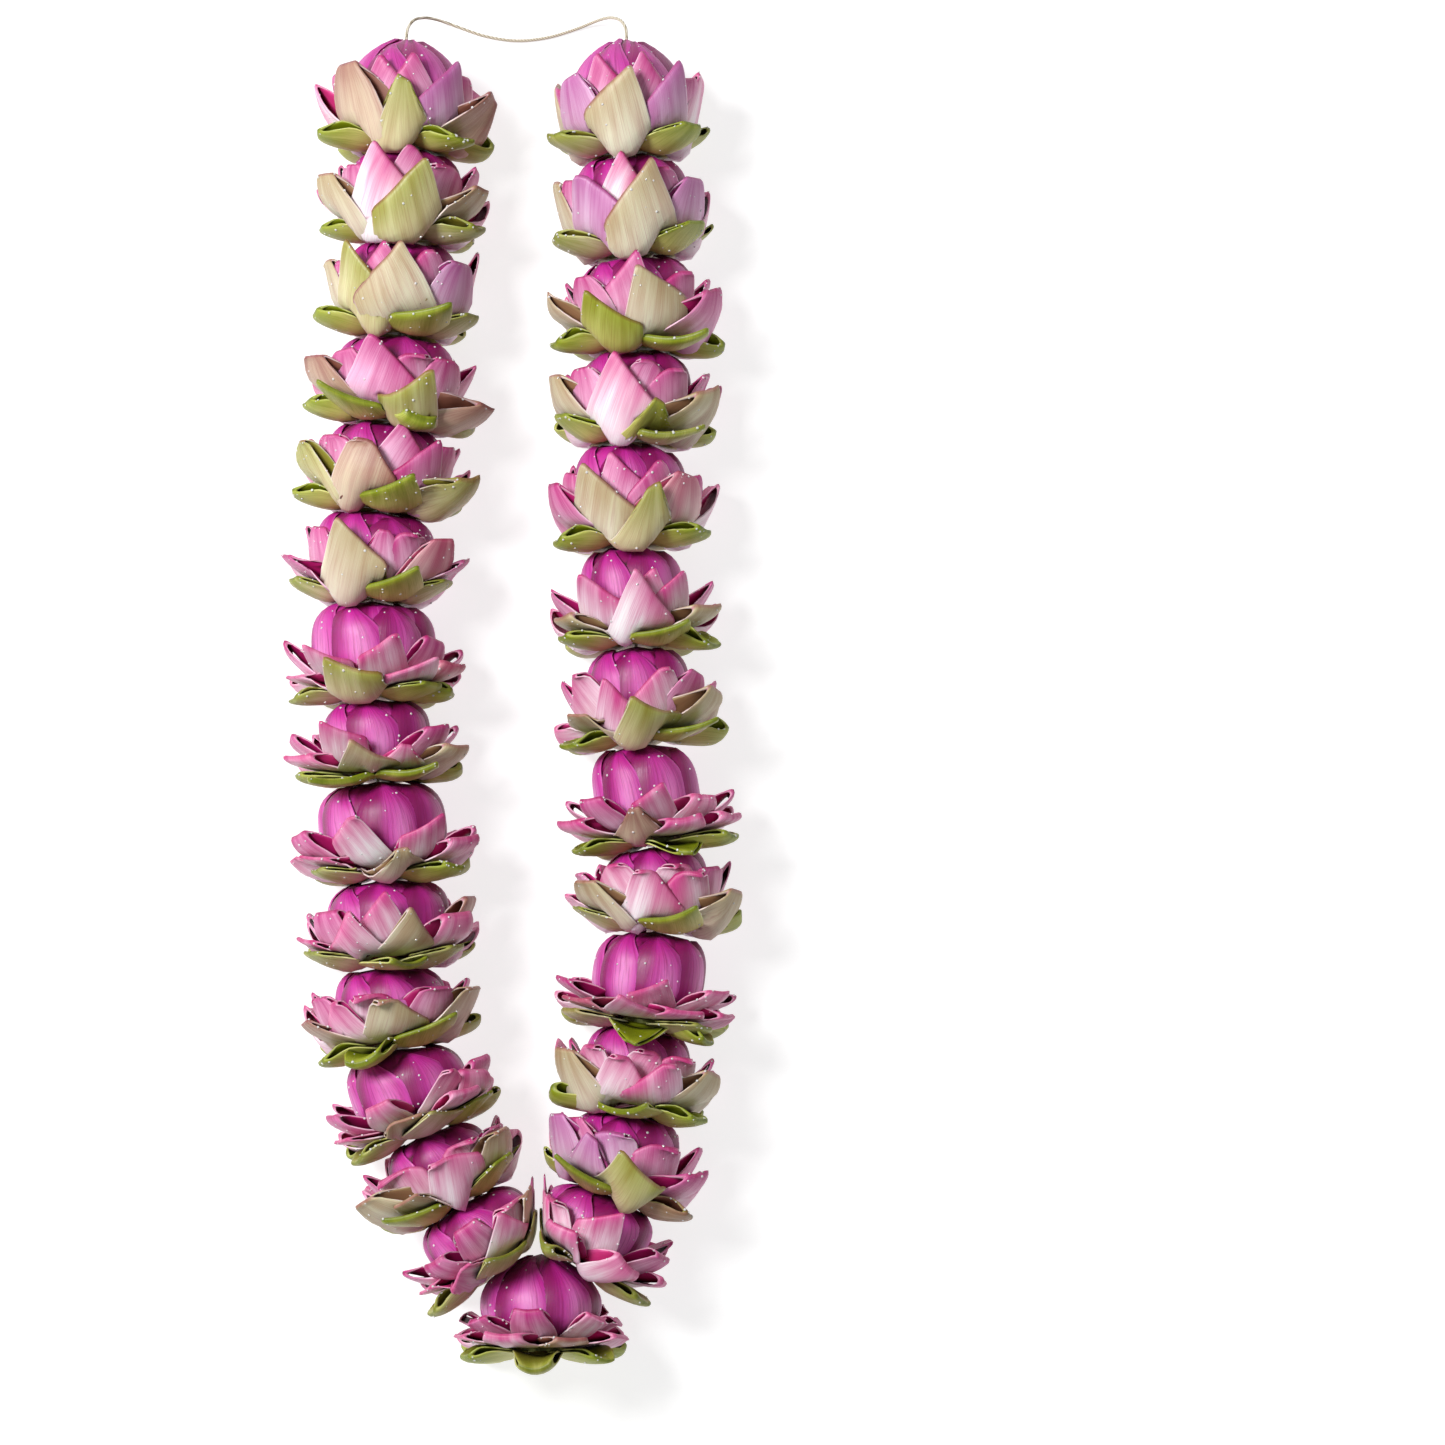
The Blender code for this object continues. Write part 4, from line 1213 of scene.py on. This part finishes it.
def measure_air(pieces):
    """Stores at each point of the pieces how free the air in front of it is, from 0 to 1."""
    ways = []
    for k in range(RAYS):
        height = 1.0 - (2 * k + 1) / RAYS
        turn = k * math.pi * (3.0 - math.sqrt(5.0))
        level = math.sqrt(1.0 - height * height)
        ways.append(Vector((level * math.cos(turn), level * math.sin(turn), height)))
    points, faces = [], []
    for piece in pieces:
        first = len(points)
        points.extend(vertex.co for vertex in piece.data.vertices)
        faces.extend([first + k for k in face.vertices] for face in piece.data.polygons)
    tree = BVHTree.FromPolygons(points, faces)
    for piece in pieces:
        shares = []
        for vertex in piece.data.vertices:
            normal = vertex.normal
            start = vertex.co + RAY_START * normal
            free = total = 0.0
            for way in ways:
                weight = way.dot(normal)
                if weight > RAY_LEAST:
                    total += weight
                    distance = tree.ray_cast(start, way, RAY_REACH)[3]
                    free += weight if distance is None else weight * distance / RAY_REACH
            shares.append(free / total)
        layer = piece.data.attributes.new("air", "FLOAT", "POINT")
        layer.data.foreach_set("value", shares)


plants = [piece for piece in bpy.data.objects if "_petals_" in piece.name]
measure_air(plants)

# The dew
# Small drops of water that were sprayed on the blooms to keep them fresh.

WHITE = (1.0, 1.0, 1.0, 1.0)
DEW_SEED = 77
BLOOM_DROPS = 68
CALYX_DROPS = 22
DROP_RADIUS = (0.25, 0.7)
DROP_FLATNESS = 0.6
DROP_AIR = 0.55
DROP_SLOPE = 0.15

chance = random.Random(DEW_SEED)
drop_mesh = bmesh.new()
bmesh.ops.create_uvsphere(drop_mesh, u_segments=8, v_segments=4, radius=MM)
for face in drop_mesh.faces:
    face.smooth = True
drop_data = bpy.data.meshes.new("drop")
drop_mesh.to_mesh(drop_data)
drop_mesh.free()
dew = piece_of("dew_drops", bmesh.new())
drops = [dew]
for piece in plants:
    count = BLOOM_DROPS if piece.name.startswith("bloom") else CALYX_DROPS
    shares = piece.data.attributes["air"].data
    open_points = [
        vertex
        for vertex in piece.data.vertices
        if shares[vertex.index].value > DROP_AIR and vertex.normal.z > DROP_SLOPE
    ]
    for vertex in chance.sample(open_points, min(count, len(open_points))):
        radius = chance.uniform(*DROP_RADIUS)
        drop = linked("drop", drop_data)
        size = Matrix.Diagonal((radius, radius, DROP_FLATNESS * radius, 1.0))
        turn = vertex.normal.to_track_quat("Z", "Y").to_matrix().to_4x4()
        drop.matrix_world = Matrix.Translation(vertex.co) @ turn @ size
        drops.append(drop)
with bpy.context.temp_override(active_object=dew, selected_editable_objects=drops):
    bpy.ops.object.join()
water = finish("dew_water", 0.05, Base_Color=WHITE, Transmission_Weight=0.4, IOR=1.33)[0]
dew.data.materials.append(water)
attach(dew, "root")

# The table, the light and the camera
# A plain white table, soft studio light from the upper left, and a camera straight above.

TABLE_GREY = (0.4, 0.4, 0.4, 1.0)
TABLE_GLOW = 0.75
TABLE_SIZE = 4.0
TABLE_LEVEL = -0.0002
LAMP_PLACE = Vector((-1.3, 0.8, 2.0))
LAMP_WIDTH = 0.9
LAMP_POWER = 74.0
ROOM_LIGHT = 0.32
VIEW_CENTRE = (93.8, -12.4)
VIEW_WIDTH = 650.0
VIEW_HEIGHT = 2400.0
SENSOR = 36.0

floor_mesh = bmesh.new()
bmesh.ops.create_grid(floor_mesh, x_segments=1, y_segments=1, size=TABLE_SIZE)
bmesh.ops.translate(floor_mesh, verts=floor_mesh.verts[:], vec=(0.0, 0.0, TABLE_LEVEL))
table_finish = finish(
    "white_table", 0.9, Specular_IOR_Level=0.1, Base_Color=TABLE_GREY, Emission_Color=WHITE,
    Emission_Strength=TABLE_GLOW,
)[0]
floor = piece_of("table_top", floor_mesh, table_finish)

light = bpy.data.lights.new("key_lamp", "AREA")
light.shape = "DISK"
light.size = LAMP_WIDTH
light.energy = LAMP_POWER
key_lamp = linked("key_lamp", light)
key_lamp.location = LAMP_PLACE
key_lamp.rotation_mode = "QUATERNION"
key_lamp.rotation_quaternion = (-LAMP_PLACE).to_track_quat("-Z", "Y")
world = bpy.data.worlds.new("studio")
world.use_nodes = True
world.node_tree.nodes["Background"].inputs["Color"].default_value = WHITE
world.node_tree.nodes["Background"].inputs["Strength"].default_value = ROOM_LIGHT
bpy.context.scene.world = world
bpy.context.scene.view_settings.view_transform = "Standard"

eye = bpy.data.cameras.new("camera")
eye.sensor_width = SENSOR
eye.lens = SENSOR * (VIEW_HEIGHT - AXIS_HEIGHT) / VIEW_WIDTH
eye.clip_end = 20.0
camera = linked("camera", eye)
camera.location = Vector((*VIEW_CENTRE, VIEW_HEIGHT)) * MM
bpy.context.scene.camera = camera
